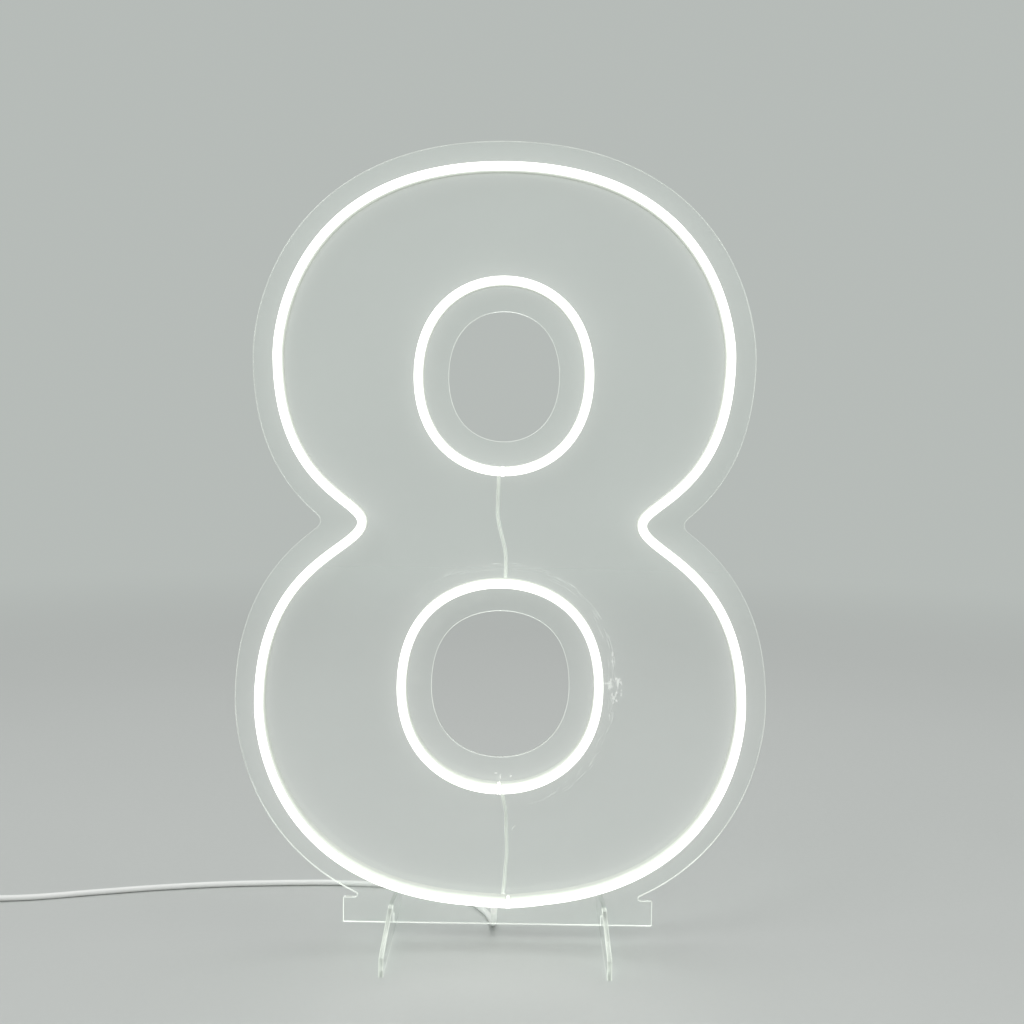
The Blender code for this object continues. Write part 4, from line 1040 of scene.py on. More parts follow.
def case_ring(inset, z):
    """A rounded rectangle of the case, drawn in by inset, at a height."""
    radius = max(case_corner - inset, smallest_corner)
    flat = rounded_loop(case_width - 2 * inset, case_length - 2 * inset, radius, 12)
    return np.column_stack([flat, np.full(len(flat), z)])


def quarter_round(inset, radius, turn):
    """Rings (inset, height) of a quarter circle that starts on a flat and ends on a wall, both at inset."""
    return [(inset + radius * (1 - math.sin(a)), inset + radius * (1 - math.cos(a))) for a in turn]


def shell(name, place, rim, top=None):
    """Rings from the flat's middle out, up and back in. rim lists the rings between outside and inside.

    A shell with a top opens downwards: its heights are measured down from there.
    """
    turn = np.radians(np.linspace(0.0, 90.0, 10))
    outer = quarter_round(0.0, case_corner, turn)
    inner = quarter_round(case_wall, case_corner - case_wall, turn[::-1])
    grid = np.stack([case_ring(inset, z if top is None else top - z) for inset, z in outer + rim + inner])
    return grid_piece(name, moved(grid, place))


place_of_case = adapter_place()
tray_rim = [
    (0.0, tray_height - case_edge),
    (case_edge, tray_height),
    (case_wall - case_edge, tray_height),
    (case_wall, tray_height - case_edge),
]
lid_rim = [
    (0.0, lid_height - case_edge),
    (case_edge, lid_height),
    (lip_inset, lid_height),
    (lip_inset, lid_height + lip_height),
    (lip_inset + lip_thickness, lid_height + lip_height),
    (lip_inset + lip_thickness, lid_height - lip_height),
    (case_wall, lid_height - lip_height),
]
tray = shell("adapter_tray", place_of_case, tray_rim)
place_of_lid = place_of_case @ Matrix.Translation((0.0, 0.0, lid_base_z))
lid = shell("adapter_lid", place_of_lid, lid_rim, top=lid_height)
print("shells", len(tray.data.polygons), len(lid.data.polygons))

# %% [markdown]
# The pins are turned metal with a plastic collar on their lower half, and the strain relief is a ribbed
# sleeve that keeps the lead from being bent at the case. Both are profiles turned round an axis.
# %% Pins and strain relief
pin_radius = 2.0 * mm
pin_length = 19.0 * mm
pin_spacing = 19.0 * mm
pin_from_back = 17.0 * mm
pin_flange_radius = 3.6 * mm
pin_flange_thickness = 1.2 * mm
pin_shaft_start = 1.0 * mm
pin_tip_height = 1.5 * mm
relief_big, relief_small = 4.0 * mm, 2.7 * mm
relief_collar_radius = 5.2 * mm
relief_collar_thickness = 1.6 * mm
groove_count = 5
groove_depth = 0.5 * mm
first_groove = 2.0 * mm
last_groove_margin = 0.6 * mm


def pin(name, x):
    """A pin: its flange under the lid, a straight shaft and a tip that rounds off as half an ellipse."""
    y = -case_length / 2 + pin_from_back
    flange_top = lid_base_z + lid_height - case_wall - seat_gap
    tip_base = lid_base_z + lid_height + pin_length - pin_tip_height
    profile = [(pin_flange_radius, flange_top - pin_flange_thickness)]
    profile += [(radius, flange_top) for radius in (pin_flange_radius, pin_radius)]
    profile += [(pin_radius, z) for z in np.linspace(flange_top + pin_shaft_start, tip_base, 12)]
    profile += [(pin_radius * math.cos(a), tip_base + pin_tip_height * math.sin(a))
                for a in np.radians(np.linspace(12.0, 84.0, 8))]
    return turned(name, profile, place_of_case @ Matrix.Translation((x, y, 0.0)))


def strain_relief(steps=121):
    """Five soft grooves on a cone, behind a collar that sits inside the case's wall.

    A groove is the upper half of a sine wave, made three times as steep and cut off at its depth.
    """
    inside = -(case_wall + seat_gap)
    along = np.linspace(0.0, relief_length, steps)
    radius = relief_big + along / relief_length * (relief_small - relief_big)
    waves = (along - first_groove) / (relief_length - first_groove) * groove_count
    groove = np.clip(np.sin(waves * 2 * math.pi) * 3, 0, 1)
    grooved = (along > first_groove) & (along < relief_length - last_groove_margin)
    radius = radius - groove_depth * groove * grooved
    profile = [(relief_collar_radius, inside - relief_collar_thickness)]
    profile += [(end_radius, inside) for end_radius in (relief_collar_radius, relief_big)]
    profile += list(zip(radius, along))
    place = place_of_case @ Matrix.Translation((0.0, case_length / 2, relief_height))
    return turned("ribbed_relief", profile, place @ Matrix.Rotation(math.radians(-90.0), 4, "X"))


pins = [pin("pin_left_turned", -pin_spacing / 2), pin("pin_right_turned", pin_spacing / 2)]
relief = strain_relief()
print("pins and relief", [len(p.data.polygons) for p in pins + [relief]])

# %% [markdown]
# ## Finishes
# A finish is a small network of nodes. Written as arithmetic it stays readable: a Signal wraps one output,
# and +, -, *, / and ** on it, from either side, add the Math node that does that sum.
# %% Shader arithmetic


class Signal:
    """One output of a node in a network. Arithmetic on it adds Math nodes."""

    def __init__(self, network, socket):
        self.network = network
        self.socket = socket

    def math(self, operation, *values, clamp=False):
        """A Math node on values, which may be signals or numbers."""
        settings = {"operation": operation, "use_clamp": clamp}
        return self.network.node("ShaderNodeMath", settings, enumerate(values))

    def __add__(self, other):
        return self.math("ADD", self, other)

    def __sub__(self, other):
        return self.math("SUBTRACT", self, other)

    def __rsub__(self, other):
        return self.math("SUBTRACT", other, self)

    def __mul__(self, other):
        return self.math("MULTIPLY", self, other)

    def __truediv__(self, other):
        return self.math("DIVIDE", self, other)

    def __rtruediv__(self, other):
        return self.math("DIVIDE", other, self)

    def __pow__(self, other):
        return self.math("POWER", self, other)

    def __rpow__(self, other):
        return self.math("POWER", other, self)

    def __abs__(self):
        return self.math("ABSOLUTE", self)

    __radd__ = __add__
    __rmul__ = __mul__

    def clamped(self):
        """Itself, kept between 0 and 1."""
        return self.math("ADD", self, 0.0, clamp=True)

    def between(self, low, high):
        """0 below low, 1 above high, and smooth from one to the other. low may be the larger."""
        return self.network.node("ShaderNodeMapRange", {"interpolation_type": "SMOOTHSTEP"},
                                 {"Value": self, "From Min": low, "From Max": high})


print("a signal also has", [name for name in vars(Signal) if not name.startswith("__")])

# %% [markdown]
# A network is a tree of nodes that ends in one surface: a material, or the sky. Every node comes from one
# method, which takes the node's type, its settings and the values of its sockets. A Finish is a network
# round one Principled shader, with short names for the nodes that finishes need most.
# %% Networks of nodes


class Network:
    """A tree of nodes that ends in one surface, for a material or for the sky."""

    def __init__(self, tree, output_name):
        self.tree = tree
        self.surface = tree.nodes[output_name].inputs["Surface"]

    def node(self, kind, settings=(), inputs=(), output=0):
        """Adds a node, sets it up, and gives each of its inputs a value or a link."""
        made = self.tree.nodes.new(kind)
        for key, value in dict(settings).items():
            setattr(made, key, value)
        for key, value in dict(inputs).items():
            if isinstance(value, Signal):
                self.tree.links.new(value.socket, made.inputs[key])
            else:
                made.inputs[key].default_value = value
        return Signal(self, made.outputs[output])

    def blended(self, share, second):
        """The surface so far where share is 0, and another shader where it is 1."""
        first = Signal(self, self.surface.links[0].from_socket)
        mix = self.node("ShaderNodeMixShader", inputs={0: share, 1: first, 2: second})
        self.tree.links.new(mix.socket, self.surface)


class Finish(Network):
    """A material with one Principled shader, and the nodes that drive it."""

    def __init__(self, name, **fixed):
        self.material = bpy.data.materials.new(name)
        self.material.use_nodes = True
        super().__init__(self.material.node_tree, "Material Output")
        self.shader = self.tree.nodes["Principled BSDF"]
        for key, value in fixed.items():
            self.shader.inputs[key.replace("_", " ")].default_value = value

    def drive(self, **signals):
        """Links signals to sockets of the shader: drive(Base_Color=..., Roughness=...)."""
        for key, signal in signals.items():
            self.tree.links.new(signal.socket, self.shader.inputs[key.replace("_", " ")])

    def place(self):
        """The place on the piece, in metres."""
        return self.node("ShaderNodeTexCoord", output="Object")

    def axes(self):
        """The x, y and z of the place on the piece, as three signals."""
        apart = self.node("ShaderNodeSeparateXYZ", inputs={0: self.place()})
        return [Signal(self, socket) for socket in apart.socket.node.outputs]

    def stretched(self, x, y, z):
        """The place with each axis scaled, for grain that runs one way."""
        return self.node("ShaderNodeVectorMath", {"operation": "MULTIPLY"}, {0: self.place(), 1: (x, y, z)})

    def noise(self, scale, detail=2.0, roughness=0.5, vector=None):
        """Soft noise from 0 to 1, with about so many lumps to a metre."""
        return self.node("ShaderNodeTexNoise", inputs={
            "Vector": vector or self.place(), "Scale": scale, "Detail": detail, "Roughness": roughness})

    def attribute(self, name):
        """The number that a piece keeps under this name for each of its points."""
        return self.node("ShaderNodeAttribute", {"attribute_name": name}, output="Fac")

    def mixed(self, share, first, second):
        """Colour first where share is 0, second where it is 1."""
        first, second = (c if isinstance(c, Signal) else (*c, 1.0) for c in (first, second))
        return self.node("ShaderNodeMix", {"data_type": "RGBA"}, {0: share, 6: first, 7: second}, output=2)

    def bump(self, height, distance, strength=1.0):
        """A normal that leans as if the surface rose with height, by distance at 1."""
        inputs = {"Height": height, "Distance": distance, "Strength": strength}
        return self.node("ShaderNodeBump", inputs=inputs)


print("a finish also has", [name for name in vars(Finish) if not name.startswith("__")])

# %% [markdown]
# ## Clear acrylic
# Polished sheet is glass-like, and the eye reads it by what lies on it. Over the lit part of this board
# lies a faint veil of dust, a little more of it here than there, and a painted glow that stands in for
# light caught in the sheet. Round the lower ring the glue has left thin broken arcs, and a smear at its
# right side.
# A mask for such an arc is a band of the distance from the ring's middle, broken up by noise.
# %% Marks on the board


def ring_place(finish):
    """How far out a point lies, in lower rings (1 on the tube's middle), and its angle in radians.

    out = (|x / a|^n + |z / b|^n)^(1 / n) with n a little above 2, as the ring is a little square.
    """
    x, _, z = finish.axes()
    across, along = x / lower_ring_half_width, (z - lower_ring_z) / lower_ring_over
    squareness = 2.25
    out = (abs(across) ** squareness + abs(along) ** squareness) ** (1 / squareness)
    return out, along.math("ARCTAN2", along, across)


def strokes(finish, out, angle, middle, spread, seed):
    """Short scratches that run round the ring, in a band of the distance out: noise drawn out along it."""
    along, across = angle * 3.2 + seed, out * 105.0
    place = finish.node("ShaderNodeCombineXYZ", inputs={"X": along, "Y": across, "Z": seed})
    broken = finish.noise(2.2, 4.0, 0.6, place).between(0.56, 0.66)
    return broken * (1 - abs(out - middle).between(0.25 * spread, spread))


def spot_mask(finish, spot):
    """1 in the middle of an oval spot (x, z, half width, half height) and 0 outside it."""
    at_x, at_z, half_width_x, half_height_z = spot
    x, _, z = finish.axes()
    across, along = (x - at_x) / half_width_x, (z - at_z) / half_height_z
    return 1 - (across * across + along * along).between(0.2, 1.0)


# Spots on the board: x, z, half width, half height
glue_smear = (74.2 * mm, lower_ring_z - 1.0 * mm, 5.6 * mm, 11.5 * mm)
glue_below_smear = (71.5 * mm, lower_ring_z - 17.0 * mm, 1.2 * mm, 6.5 * mm)
glue_above_smear = (72.3 * mm, lower_ring_z + 19.0 * mm, 0.9 * mm, 6.5 * mm)
glue_drops = [
    (69.6 * mm, lower_ring_z + 2.6 * mm, 3.4 * mm, 0.6 * mm),
    (-2.0 * mm, 110.4 * mm, 1.2 * mm, 0.5 * mm),
    (0.8 * mm, 108.2 * mm, 0.5 * mm, 1.8 * mm),
    (7.6 * mm, 108.6 * mm, 0.8 * mm, 0.7 * mm),
]
scratch_spot = (9.6 * mm, 74.6 * mm, 1.8 * mm, 2.6 * mm)
scratch_slope = 1.4


def scratch_mask(finish):
    """A short straight line through the scratch's spot, where z - slope * x is what it is in its middle."""
    x, _, z = finish.axes()
    rise = (z - scratch_spot[1]) - scratch_slope * (x - scratch_spot[0])
    return (1 - abs(rise).between(0.2 * mm, 0.8 * mm)) * spot_mask(finish, scratch_spot)


def glue_marks(finish):
    """Dried glue round the lower ring: strokes outside it, mostly at its right, fewer inside, and a smear.

    It lies on the front face, where the tubes were glued down. Angles are in radians round the ring.
    """
    out, angle = ring_place(finish)
    right = abs(angle - 0.45).between(2.3, 1.2)
    left = abs(angle - 2.4).between(1.3, 0.5)
    marks = strokes(finish, out, angle, 1.165, 0.035, 3.7) * (0.15 + 0.85 * right)
    marks = marks + strokes(finish, out, angle, 1.12, 0.022, 9.1) * 0.6 * right
    marks = marks + strokes(finish, out, angle, 0.86, 0.07, 5.3) * 0.35 * left
    scratchy = finish.noise(340.0, 4.0, 0.7, finish.stretched(1.0, 1.0, 0.40)).between(0.47, 0.55)
    ragged = finish.noise(120.0, 3.0, 0.6).between(0.34, 0.50)
    smear = 1.5 * spot_mask(finish, glue_smear) * ragged
    smear = smear + 0.6 * spot_mask(finish, glue_below_smear) + 0.5 * spot_mask(finish, glue_above_smear)
    marks = marks + smear * scratchy
    for spot in glue_drops:
        marks = marks + 0.8 * spot_mask(finish, spot)
    marks = marks + 0.45 * scratch_mask(finish)
    return marks.clamped() * finish.axes()[1].between(0.0, -board_half / 2)


print("glue:", len(glue_drops), "drops")

# %% [markdown]
# The veil is a second, matt shader, mixed in over the polished one. The sheet also has a painted glow,
# an emission that stands in for a tube's light caught in it, and falls off with the distance.
# Lamps reach through the sheet: for shadow rays it is a thin grey film, so its shadow stays light.
# %% Faces of the sheets
clear_tint = (0.985, 0.996, 0.988)
painted_glow_reach = 7.0 * mm
front_reach = 4.0 * mm


def let_lamps_through(finish, colour):
    """For shadow rays the surface is a thin film of a colour."""
    film = finish.node("ShaderNodeBsdfTransparent", inputs={"Color": (*colour, 1.0)})
    shadow = finish.node("ShaderNodeLightPath", output="Is Shadow Ray")
    finish.blended(shadow, film)


def painted_tube_glow(finish):
    """Painted glow for light caught in the sheet: a little everywhere, more by a tube, falling off as
    exp(-distance).
    """
    reach = (tube_width / 2 - finish.attribute("from_tube")) / painted_glow_reach
    return 0.010 + 0.045 * reach.math("EXPONENT", reach)


def acrylic_finish(name, glued):
    """Polished sheet under a veil of dust: a faint haze in slow patches, and specks at Voronoi points.

    The board also has its glue and a painted glow from the tubes, and a foot has a painted shine along its
    outline, most at its front.
    """
    finish = Finish(name, IOR=1.49, Transmission_Weight=1.0, Emission_Strength=1.0)
    wide = finish.noise(9.0, 3.0)
    fine = finish.noise(220.0, 4.0, 0.6)
    streaks = finish.noise(30.0, 4.0, 0.65, finish.stretched(1.0, 1.0, 0.12))
    finish.drive(
        Base_Color=finish.mixed(wide, clear_tint, (0.965, 0.985, 0.972)),
        Roughness=0.012 + 0.05 * (fine * streaks).between(0.28, 0.55),
        Normal=finish.bump(streaks + wide, 0.02 * mm, 0.25),
    )
    dust = finish.node("ShaderNodeTexVoronoi", inputs={"Vector": finish.place(), "Scale": 55.0})
    veil = 0.050 + 0.035 * wide.between(0.3, 0.75) + 0.35 * (1 - dust.between(0.010, 0.022))
    if glued:
        marks = glue_marks(finish)
        veil = veil + 0.5 * marks
        # Painted light: the glue marks also glow, as if the tubes lit them. Their matt colour in the veil
        # is real glue.
        painted_glow = painted_tube_glow(finish) + 0.42 * marks
    else:
        # Painted highlight: the foot's face glows along its outline, most at its front.
        rim = 1 - finish.attribute("from_edge").between(0.3 * mm, 0.8 * mm)
        painted_glow = 0.30 * rim * finish.axes()[1].between(front_reach, -front_reach)
    finish.drive(Emission_Color=finish.mixed(painted_glow.clamped(), (0.0, 0.0, 0.0), (1.0, 1.0, 0.95)))
    dusty = finish.node("ShaderNodeBsdfDiffuse", inputs={"Color": (0.90, 0.95, 0.92, 1.0)})
    finish.blended(veil.clamped(), dusty)
    let_lamps_through(finish, (0.93, 0.95, 0.94))
    return finish.material


board_face = acrylic_finish("acrylic_sheet", True)
foot_face = acrylic_finish("acrylic_foot", False)
print("faces:", board_face.name, foot_face.name)

# %% [markdown]
# A laser melts its way through the sheet, so the cut edge is clear, but for fine lines across it. Light
# that is caught between the faces runs on until it meets an edge and leaves the sheet there, and a painted
# glow stands in for it. So the edge has a painted shine, most of all at its two arrises.
# %% Cut edges of the sheets
arris_inner = board_half - 0.7 * mm
arris_outer = board_half - 0.15 * mm
bar_glow_top_z = 30.0 * mm
figure_glow_z = 120.0 * mm
openings_reach_x = 60.0 * mm
outline_from_x = 90.0 * mm
openings_reach_z = 440.0 * mm
outline_from_z = 470.0 * mm


def cut_edge_finish(name, axis, middle, painted_glow, by_front):
    """A laser leaves fine lines across the edge. A painted glow stands for the sheet's light, most at the
    arrises.

    The sheet's thickness runs along axis, about its middle. by_front is how much of the painted glow is
    kept for what lies in front, where the tubes shine on it. The foot bar's painted shine is strongest, the
    edges of the openings get less, and the outline's is faint.
    """
    finish = Finish(name, IOR=1.49, Transmission_Weight=0.85, Emission_Strength=painted_glow)
    places = finish.axes()
    x, y, z = places
    depth = abs(abs(places[axis]) - middle)
    arris = depth.between(arris_inner, arris_outer)
    across = [0.03 if number == axis else 1.0 for number in range(3)]
    lines = finish.noise(700.0, 2.0, 0.5, finish.stretched(*across))
    uneven = finish.noise(26.0, 3.0).between(0.3, 0.7)
    lit = (1 - by_front) + by_front * y.between(front_reach, -front_reach)
    outline = abs(x).between(openings_reach_x, outline_from_x) + z.between(openings_reach_z, outline_from_z)
    outline = outline.clamped()
    faint = z.between(bar_glow_top_z, figure_glow_z) * (0.20 + 0.45 * outline)
    # Painted highlight: the edge's emission, strongest at the arrises and, on a foot, in front.
    painted_edge_shine = (0.30 + 0.70 * arris) * (0.6 + 0.4 * uneven) * lit * (1 - faint)
    finish.drive(
        Base_Color=finish.mixed(lines, (0.92, 0.97, 0.93), (0.97, 1.0, 0.98)),
        Roughness=0.18 + 0.12 * lines,
        Emission_Color=finish.mixed(painted_edge_shine, (0.0, 0.0, 0.0), (0.95, 1.0, 0.90)),
        Normal=finish.bump(lines, 0.02 * mm, 0.12),
    )
    let_lamps_through(finish, (0.85, 0.88, 0.86))
    return finish.material


board_edge = cut_edge_finish("acrylic_board_edge", 1, 0.0, 0.55, 0.0)
foot_edge = cut_edge_finish("acrylic_foot_edge", 0, foot_x, 0.50, 0.9)
print("edges:", board_edge.name, foot_edge.name)

# %% [markdown]
# ## Lit silicone
# The dome glows an even, very slightly warm white. The walls are thicker and shine only with what leaks
# into them, so they look grey-green beside the face, brighter towards it. The mask is the depth of a
# point in front of the board, and the joint between a tube's ends lets a thin line of light out.
# %% Silicone of the tubes
wall_front_y = tube_back_y - (tube_depth - dome_depth)
face_start_y = wall_front_y - 0.8 * mm
face_full_y = wall_front_y - 2.0 * mm
seam_half = 0.5 * mm
seam_reach = 1.0 * mm


def silicone_finish(name, seam):
    """Milky walls that glow with the cube of the way to the front, and a bright face. Plugs have seams."""
    finish = Finish(name, IOR=1.41, Emission_Strength=3.2)
    x, y, _ = finish.axes()
    face = y.between(face_start_y, face_full_y)
    wall = y.between(tube_back_y, wall_front_y)
    cloud = finish.noise(70.0, 3.0)
    drawn = finish.noise(500.0, 3.0, 0.5, finish.stretched(0.3, 1.0, 0.3))
    if seam:
        for joint_x in (joint_places["upper_ring"], joint_places["outer"]):
            face = face + (1 - abs(x - joint_x).between(seam_half, seam_reach)) * wall
        face = face.clamped()
    milky = finish.mixed(cloud, (0.56, 0.58, 0.54), (0.64, 0.66, 0.615))
    leak = finish.mixed(wall ** 3, (0.034, 0.037, 0.032), (0.135, 0.145, 0.128))
    finish.drive(
        Base_Color=milky,
        Roughness=0.38 + 0.18 * drawn,
        Emission_Color=finish.mixed(face, leak, (1.0, 1.0, 0.955)),
        Normal=finish.bump(drawn + 0.3 * cloud, 0.04 * mm, 0.35),
    )
    return finish.material


lit_silicone = silicone_finish("lit_silicone", False)
plug_silicone = silicone_finish("lit_plug_silicone", True)
print("silicone:", lit_silicone.name, plug_silicone.name)

# %% [markdown]
# ## Vinyl, shrink tube, strap and case
# The flat wire is clear vinyl over two tinned cores, which show as two grey lines. The lead is white
# vinyl with a soft shine. Both keep the distance along them and the way round them with each point, which
# is what their finishes are drawn by.
# %% Vinyl of the wires and the lead
wire_lit_end = 9.0 * mm
wire_dark_start = 25.0 * mm
lead_lit_end = 2.0 * mm
lead_dark_start = 14.0 * mm
ripple_per_metre = 420.0


def wire_finish():
    """Clear vinyl over two cores, each of which is a band of the way round, and shows as a grey line.

    Painted light: the first stretch from the tube above glows as if lit by it, and the rest only faintly,
    as if by what leaks into the sheet.
    """
    finish = Finish("clear_wire_vinyl", IOR=1.53, Coat_Weight=0.3, Emission_Strength=0.34)
    halves = finish.attribute("round") * 2.0
    from_outside = abs(halves.math("FRACT", halves) - 0.5)
    core = 1 - abs(from_outside - 0.29).between(0.05, 0.13)
    twist = finish.noise(900.0, 1.0)
    painted_light_by_tube = 1 - finish.attribute("along").between(wire_lit_end, wire_dark_start)
    # Painted light: the faint glow of the rest of the wire, less over the cores.
    leak = finish.mixed(core, (0.33, 0.35, 0.32), (0.18, 0.19, 0.17))
    finish.drive(
        Base_Color=finish.mixed(core * (0.6 + 0.4 * twist), (0.90, 0.93, 0.89), (0.66, 0.67, 0.62)),
        Roughness=0.22 + 0.12 * twist,
        Emission_Color=finish.mixed(painted_light_by_tube, leak, (0.86, 0.90, 0.83)),
        Normal=finish.bump(twist, 0.03 * mm, 0.4),
    )
    return finish.material


def lead_finish():
    """White vinyl, dusty underneath, with a slight ripple along it. Its start has a painted glow, as if lit
    by the tube.
    """
    finish = Finish("white_lead_vinyl", IOR=1.52, Emission_Strength=0.30)
    along = finish.attribute("along")
    wide = finish.noise(14.0, 3.0)
    grain = finish.noise(1400.0, 2.0)
    _, _, z = finish.axes()
    dusty = (1 - z.between(0.4 * mm, 2.2 * mm)) * finish.noise(60.0, 3.0).between(0.35, 0.7)
    phase = along * ripple_per_metre
    ripple = phase.math("SINE", phase)
    white = finish.mixed(wide, (0.80, 0.82, 0.80), (0.86, 0.87, 0.85))
    painted_light_at_start = 1 - along.between(lead_lit_end, lead_dark_start)
    finish.drive(
        Base_Color=finish.mixed(dusty * 0.35, white, (0.62, 0.62, 0.58)),
        Emission_Color=finish.mixed(painted_light_at_start, (0.0, 0.0, 0.0), (0.84, 0.88, 0.82)),
        Roughness=0.30 + 0.16 * grain,
        Normal=finish.bump(0.5 * grain + 0.2 * ripple, 0.03 * mm, 0.35),
    )
    return finish.material


clear_wire = wire_finish()
white_lead = lead_finish()
print("vinyl:", clear_wire.name, white_lead.name)

# %% [markdown]
# The shrink tube is white and smooth, and the adapter has the fine sparked grain of its mould. The strap
# has the small loops of a touch fastener. The pins are plated and bear the marks of the lathe.
# %% Shrink tube, case, strap and pins


def moulded_finish(name, pale, dark, grain_scale, rough, painted_glow=0.0):
    """Moulded or shrunk plastic: a fine even grain, and a slow drift of colour. The glow strength paints
    the light that leaks in, in the plastic's own colour.
    """
    finish = Finish(name, IOR=1.50, Emission_Strength=painted_glow)
    grain = finish.noise(grain_scale, 2.0, 0.6)
    drift = finish.noise(18.0, 3.0)
    finish.drive(
        Base_Color=finish.mixed(drift, dark, pale),
        Emission_Color=finish.mixed(drift, dark, pale),
        Roughness=rough + 0.18 * grain,
        Normal=finish.bump(grain, 0.05 * mm, 0.5),
    )
    return finish.material


def strap_finish():
    """Loops of a touch fastener: Voronoi cells, with painted shade between them, raised in the middle."""
    finish = Finish("strap_loops", Sheen_Weight=0.4, Sheen_Roughness=0.5)
    loops = finish.node("ShaderNodeTexVoronoi", inputs={"Vector": finish.place(), "Scale": 1500.0})
    drift = finish.noise(90.0, 3.0)
    # Painted shade: darker where the surface is low, between the loops, with a slow drift of tone.
    gap_shade_and_drift = loops.between(0.1, 0.7) * (0.6 + 0.4 * drift)
    finish.drive(
        Base_Color=finish.mixed(gap_shade_and_drift, (0.55, 0.56, 0.56), (0.80, 0.81, 0.80)),
        Roughness=0.75 + 0.2 * drift,
        Normal=finish.bump(loops, 0.15 * mm, 0.8),
    )
    return finish.material


def pin_finish():
    """Plated metal with lathe lines, and a moulded collar over the half next to the case."""
    finish = Finish("plated_pin", IOR=1.5)
    _, _, z = finish.axes()
    collar_top = lid_base_z + lid_height + pin_length / 2
    bare = z.between(collar_top - 0.1 * mm, collar_top + 0.1 * mm)
    lathe = finish.noise(2500.0, 1.0, 0.5, finish.stretched(0.05, 0.05, 1.0))
    stain = finish.noise(240.0, 3.0)
    metal = finish.mixed(stain, (0.80, 0.74, 0.58), (0.86, 0.82, 0.70))
    finish.drive(
        Base_Color=finish.mixed(bare, (0.80, 0.80, 0.78), metal),
        Metallic=bare,
        Roughness=0.20 + 0.15 * lathe + 0.15 * (1 - bare),
        Normal=finish.bump(lathe, 0.02 * mm, 0.4),
    )
    return finish.material


# Painted light: the shrink tube glows in its own white, as if lit by the tube above.
shrink_white = moulded_finish(
    "shrink_tube_white", (0.88, 0.88, 0.85), (0.80, 0.80, 0.78), 700.0, 0.35, painted_glow=0.45)
case_plastic = moulded_finish("case_spark_plastic", (0.88, 0.88, 0.86), (0.83, 0.83, 0.81), 2200.0, 0.42)
strap_loops = strap_finish()
plated_pin = pin_finish()
print("hard and soft:", shrink_white.name, case_plastic.name, strap_loops.name, plated_pin.name)

# %% [markdown]
# ## Inside
# The light strips, the circuit board and its two parts are seldom seen, but they are real pieces, and
# their solids have the right shape already. They keep it and get a finish each. The chips stand 0.8 mm out
# of the strip, so a mask of the depth just in front of the strip paints them.
# %% Finishes of the pieces inside
strip_thickness = 0.4 * mm
strip_front_y = tube_back_y - channel_floor - seat_gap - strip_thickness


def strip_finish():
    """Pale circuit strip, with yellow glowing chips where the solid stands out in front."""
    finish = Finish("light_strip", Emission_Strength=1.0)
    chip = finish.axes()[1].between(strip_front_y - 0.05 * mm, strip_front_y - 0.15 * mm)
    mask = finish.noise(400.0, 2.0)
    finish.drive(
        Base_Color=finish.mixed(chip, (0.86, 0.86, 0.82), (0.95, 0.85, 0.45)),
        Roughness=0.35 + 0.2 * mask,
        Emission_Color=finish.mixed(chip, (0.0, 0.0, 0.0), (1.0, 0.98, 0.9)),
        Normal=finish.bump(mask, 0.02 * mm, 0.4),
    )
    return finish.material


def circuit_finish():
    """Green lacquer over traces: bricks of two greens with paler joints between them."""
    finish = Finish("circuit_green", Coat_Weight=0.4)
    traces = finish.node("ShaderNodeTexBrick", {"offset": 0.5}, {
        "Vector": finish.place(),
        "Scale": 260.0,
        "Color1": (0.05, 0.25, 0.12, 1),
        "Color2": (0.04, 0.20, 0.10, 1),
        "Mortar": (0.09, 0.36, 0.17, 1),
    })
    glaze = finish.noise(300.0, 2.0)
    finish.drive(Base_Color=traces, Roughness=0.28 + 0.2 * glaze, Normal=finish.bump(glaze, 0.03 * mm, 0.4))
    return finish.material


light_strip = strip_finish()
circuit_green = circuit_finish()
ferrite = moulded_finish("ferrite_core", (0.075, 0.075, 0.08), (0.05, 0.05, 0.055), 1800.0, 0.5)
can_sleeve = moulded_finish("capacitor_can", (0.06, 0.08, 0.14), (0.04, 0.055, 0.10), 500.0, 0.25)
inside_finishes = {name + "_led_strip": light_strip for name in figure_lines}
inside_finishes["adapter_circuit_board"] = circuit_green
inside_finishes["adapter_transformer"] = ferrite
inside_finishes["adapter_capacitor"] = can_sleeve
for node, material in inside_finishes.items():
    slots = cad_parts[node].material_slots
    for slot in slots:
        slot.material = material
    print(node, len(slots), "slot")

# %% [markdown]
# ## Fitting together
# Every piece now gets its finish and rides on its body, and the solid that it stands for is hidden. The
# feet lift off on their own, so they ride on their own bodies, and everything else moves with the light.
# %% Finish, body and solid of each piece


def fit(piece, materials, slot, *nodes, body="light"):
    """Gives a piece its materials and its body, and hides the solids that it stands for. slot is not used.
    """
    for material in materials:
        piece.data.materials.append(material)
    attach(piece, body)
    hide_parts(*nodes)


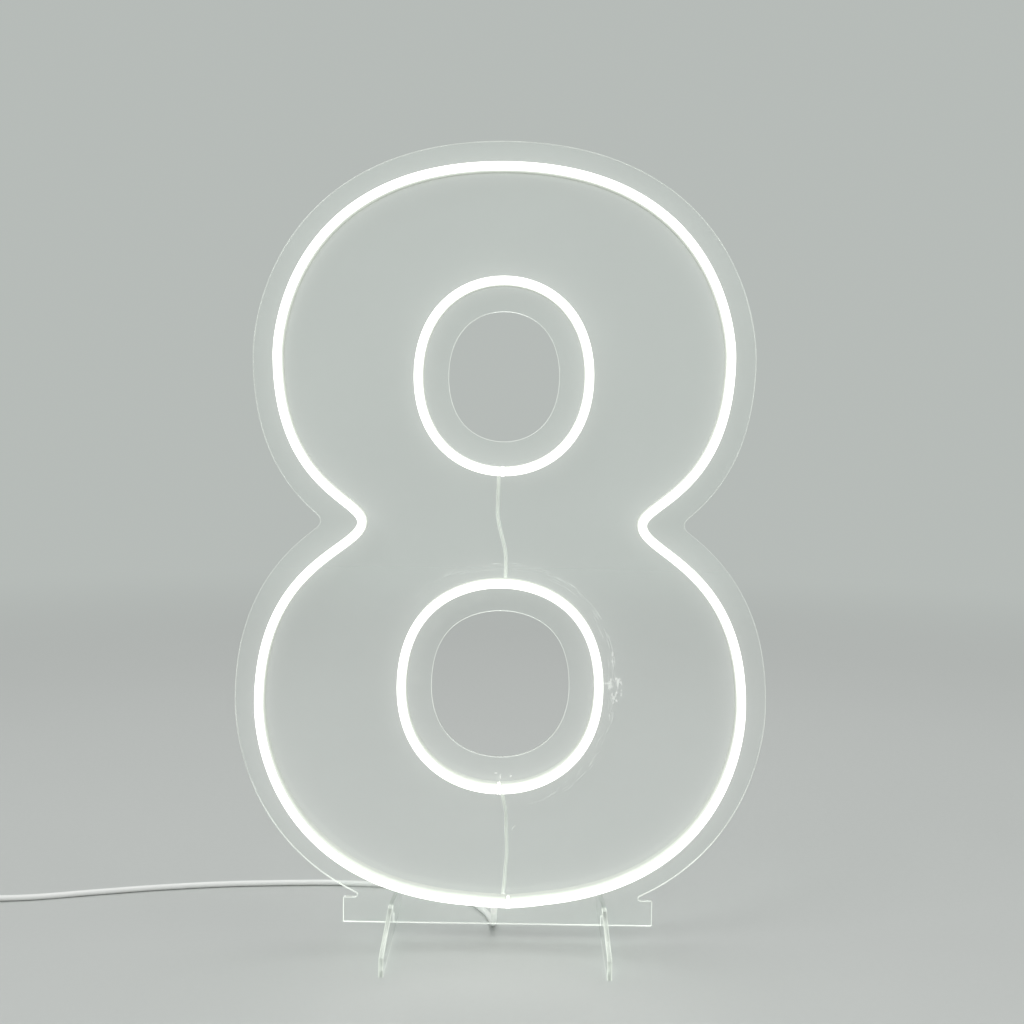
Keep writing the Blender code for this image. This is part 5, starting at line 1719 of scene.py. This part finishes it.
for name, piece in tubes.items():
    fit(piece, [lit_silicone], "glowing_silicone", name + "_sleeve")
for piece, node in plugs:
    fit(piece, [plug_silicone], "plug_silicone", node)
fit(board, [board_face, board_edge], "clear_acrylic", "backboard")
for side_name, piece in feet.items():
    fit(piece, [foot_face, foot_edge], "clear_acrylic", "foot_" + side_name, body=side_name + "_foot")
fit(upper_wire, [clear_wire], "wire_vinyl", "upper_link_wire")
fit(lower_wire, [clear_wire], "wire_vinyl", "lower_link_wire")
fit(feed_wire, [clear_wire], "wire_vinyl", "feed_wire")
fit(sleeve, [shrink_white], "shrink_white", "splice_sleeve")
fit(lead, [white_lead], "lead_vinyl", "power_lead", "lead_coil", "lead_tail")
fit(tie, [strap_loops], "tie_white", "coil_tie")
for piece, node in ((tray, "adapter_back"), (lid, "adapter_front"), (relief, "adapter_strain_relief")):
    fit(piece, [case_plastic], "case_plastic", node)
for piece, node in zip(pins, ("adapter_pin_left", "adapter_pin_right")):
    fit(piece, [plated_pin], "pin_brass", node)

# %% [markdown]
# ## Studio
# The floor is a wide pale disc. Far from the object it fades into the background's own colour, so that no
# horizon cuts through the figure.
# %% Floor
backdrop = (0.47, 0.50, 0.48)
floor_thickness = 10.0 * mm
fade_start = 0.9
fade_end = 2.3


def floor_finish():
    """Pale matt floor, which gives way to the background's colour with the distance from the object."""
    finish = Finish("pale_floor")
    drift = finish.noise(1.6, 3.0)
    grain = finish.noise(240.0, 2.0)
    finish.drive(
        Base_Color=finish.mixed(drift, (0.50, 0.52, 0.505), (0.53, 0.55, 0.535)),
        Roughness=0.34 + 0.12 * grain,
        Normal=finish.bump(grain, 0.03 * mm, 0.2),
    )
    x, y, _ = finish.axes()
    far = ((x * x + y * y) ** 0.5).between(fade_start, fade_end)
    sky = finish.node("ShaderNodeEmission", inputs={"Color": (*backdrop, 1.0)})
    finish.blended(far, sky)
    return finish.material


def floor_disc(radius=6.0, rings=9, sides=96):
    """Rings of points whose radius grows evenly, once for the top and once for the underside."""
    cosine, sine = full_turn(sides)
    flat = np.linspace(0.05, 1.0, rings)[:, None] * radius
    top = np.stack([flat * cosine, flat * sine, np.zeros((rings, sides))], axis=-1)
    return grid_piece("pale_floor", np.concatenate([top, top[::-1] - (0.0, 0.0, floor_thickness)]))


floor = floor_disc()
floor.data.materials.append(floor_finish())
print("floor", len(floor.data.polygons), "faces")

# %% [markdown]
# The sky lights everything softly, and three large lamps add shape. What the camera, a mirror or glass sees
# of the sky is its pale colour, whatever the lamps do.
# %% Sky and lamps
world = bpy.data.worlds.new("soft_studio")
bpy.context.scene.world = world
world.use_nodes = True
sky = Network(world.node_tree, "World Output")
lighting = sky.tree.nodes["Background"]
lighting.inputs["Color"].default_value = (1.0, 1.0, 1.0, 1.0)
lighting.inputs["Strength"].default_value = 0.50
seen = sky.node("ShaderNodeBackground", inputs={"Color": (*backdrop, 1.0)})
any_ray = sky.node("ShaderNodeLightPath", output="Is Camera Ray")
for kind in ("Is Glossy Ray", "Is Transmission Ray"):
    any_ray = any_ray.math("MAXIMUM", any_ray, sky.node("ShaderNodeLightPath", output=kind))
sky.blended(any_ray, seen)


def lamp(name, place, aim, size, power):
    """A square soft lamp at a place, pointed at the aim."""
    data = bpy.data.lights.new(name, "AREA")
    data.size = size
    data.energy = power
    thing = bpy.data.objects.new(name, data)
    thing.location = place
    thing.rotation_euler = (Vector(aim) - Vector(place)).to_track_quat("-Z", "Y").to_euler()
    bpy.context.scene.collection.objects.link(thing)


lamp("key_softbox", (-1.5, -1.5, 2.1), (0.0, 0.0, 0.2), 1.3, 26.0)
lamp("fill_softbox", (1.9, -1.0, 1.5), (0.0, 0.0, 0.2), 1.5, 12.0)
lamp("top_softbox", (0.2, 0.6, 2.4), (0.0, 0.0, 0.1), 1.4, 14.0)
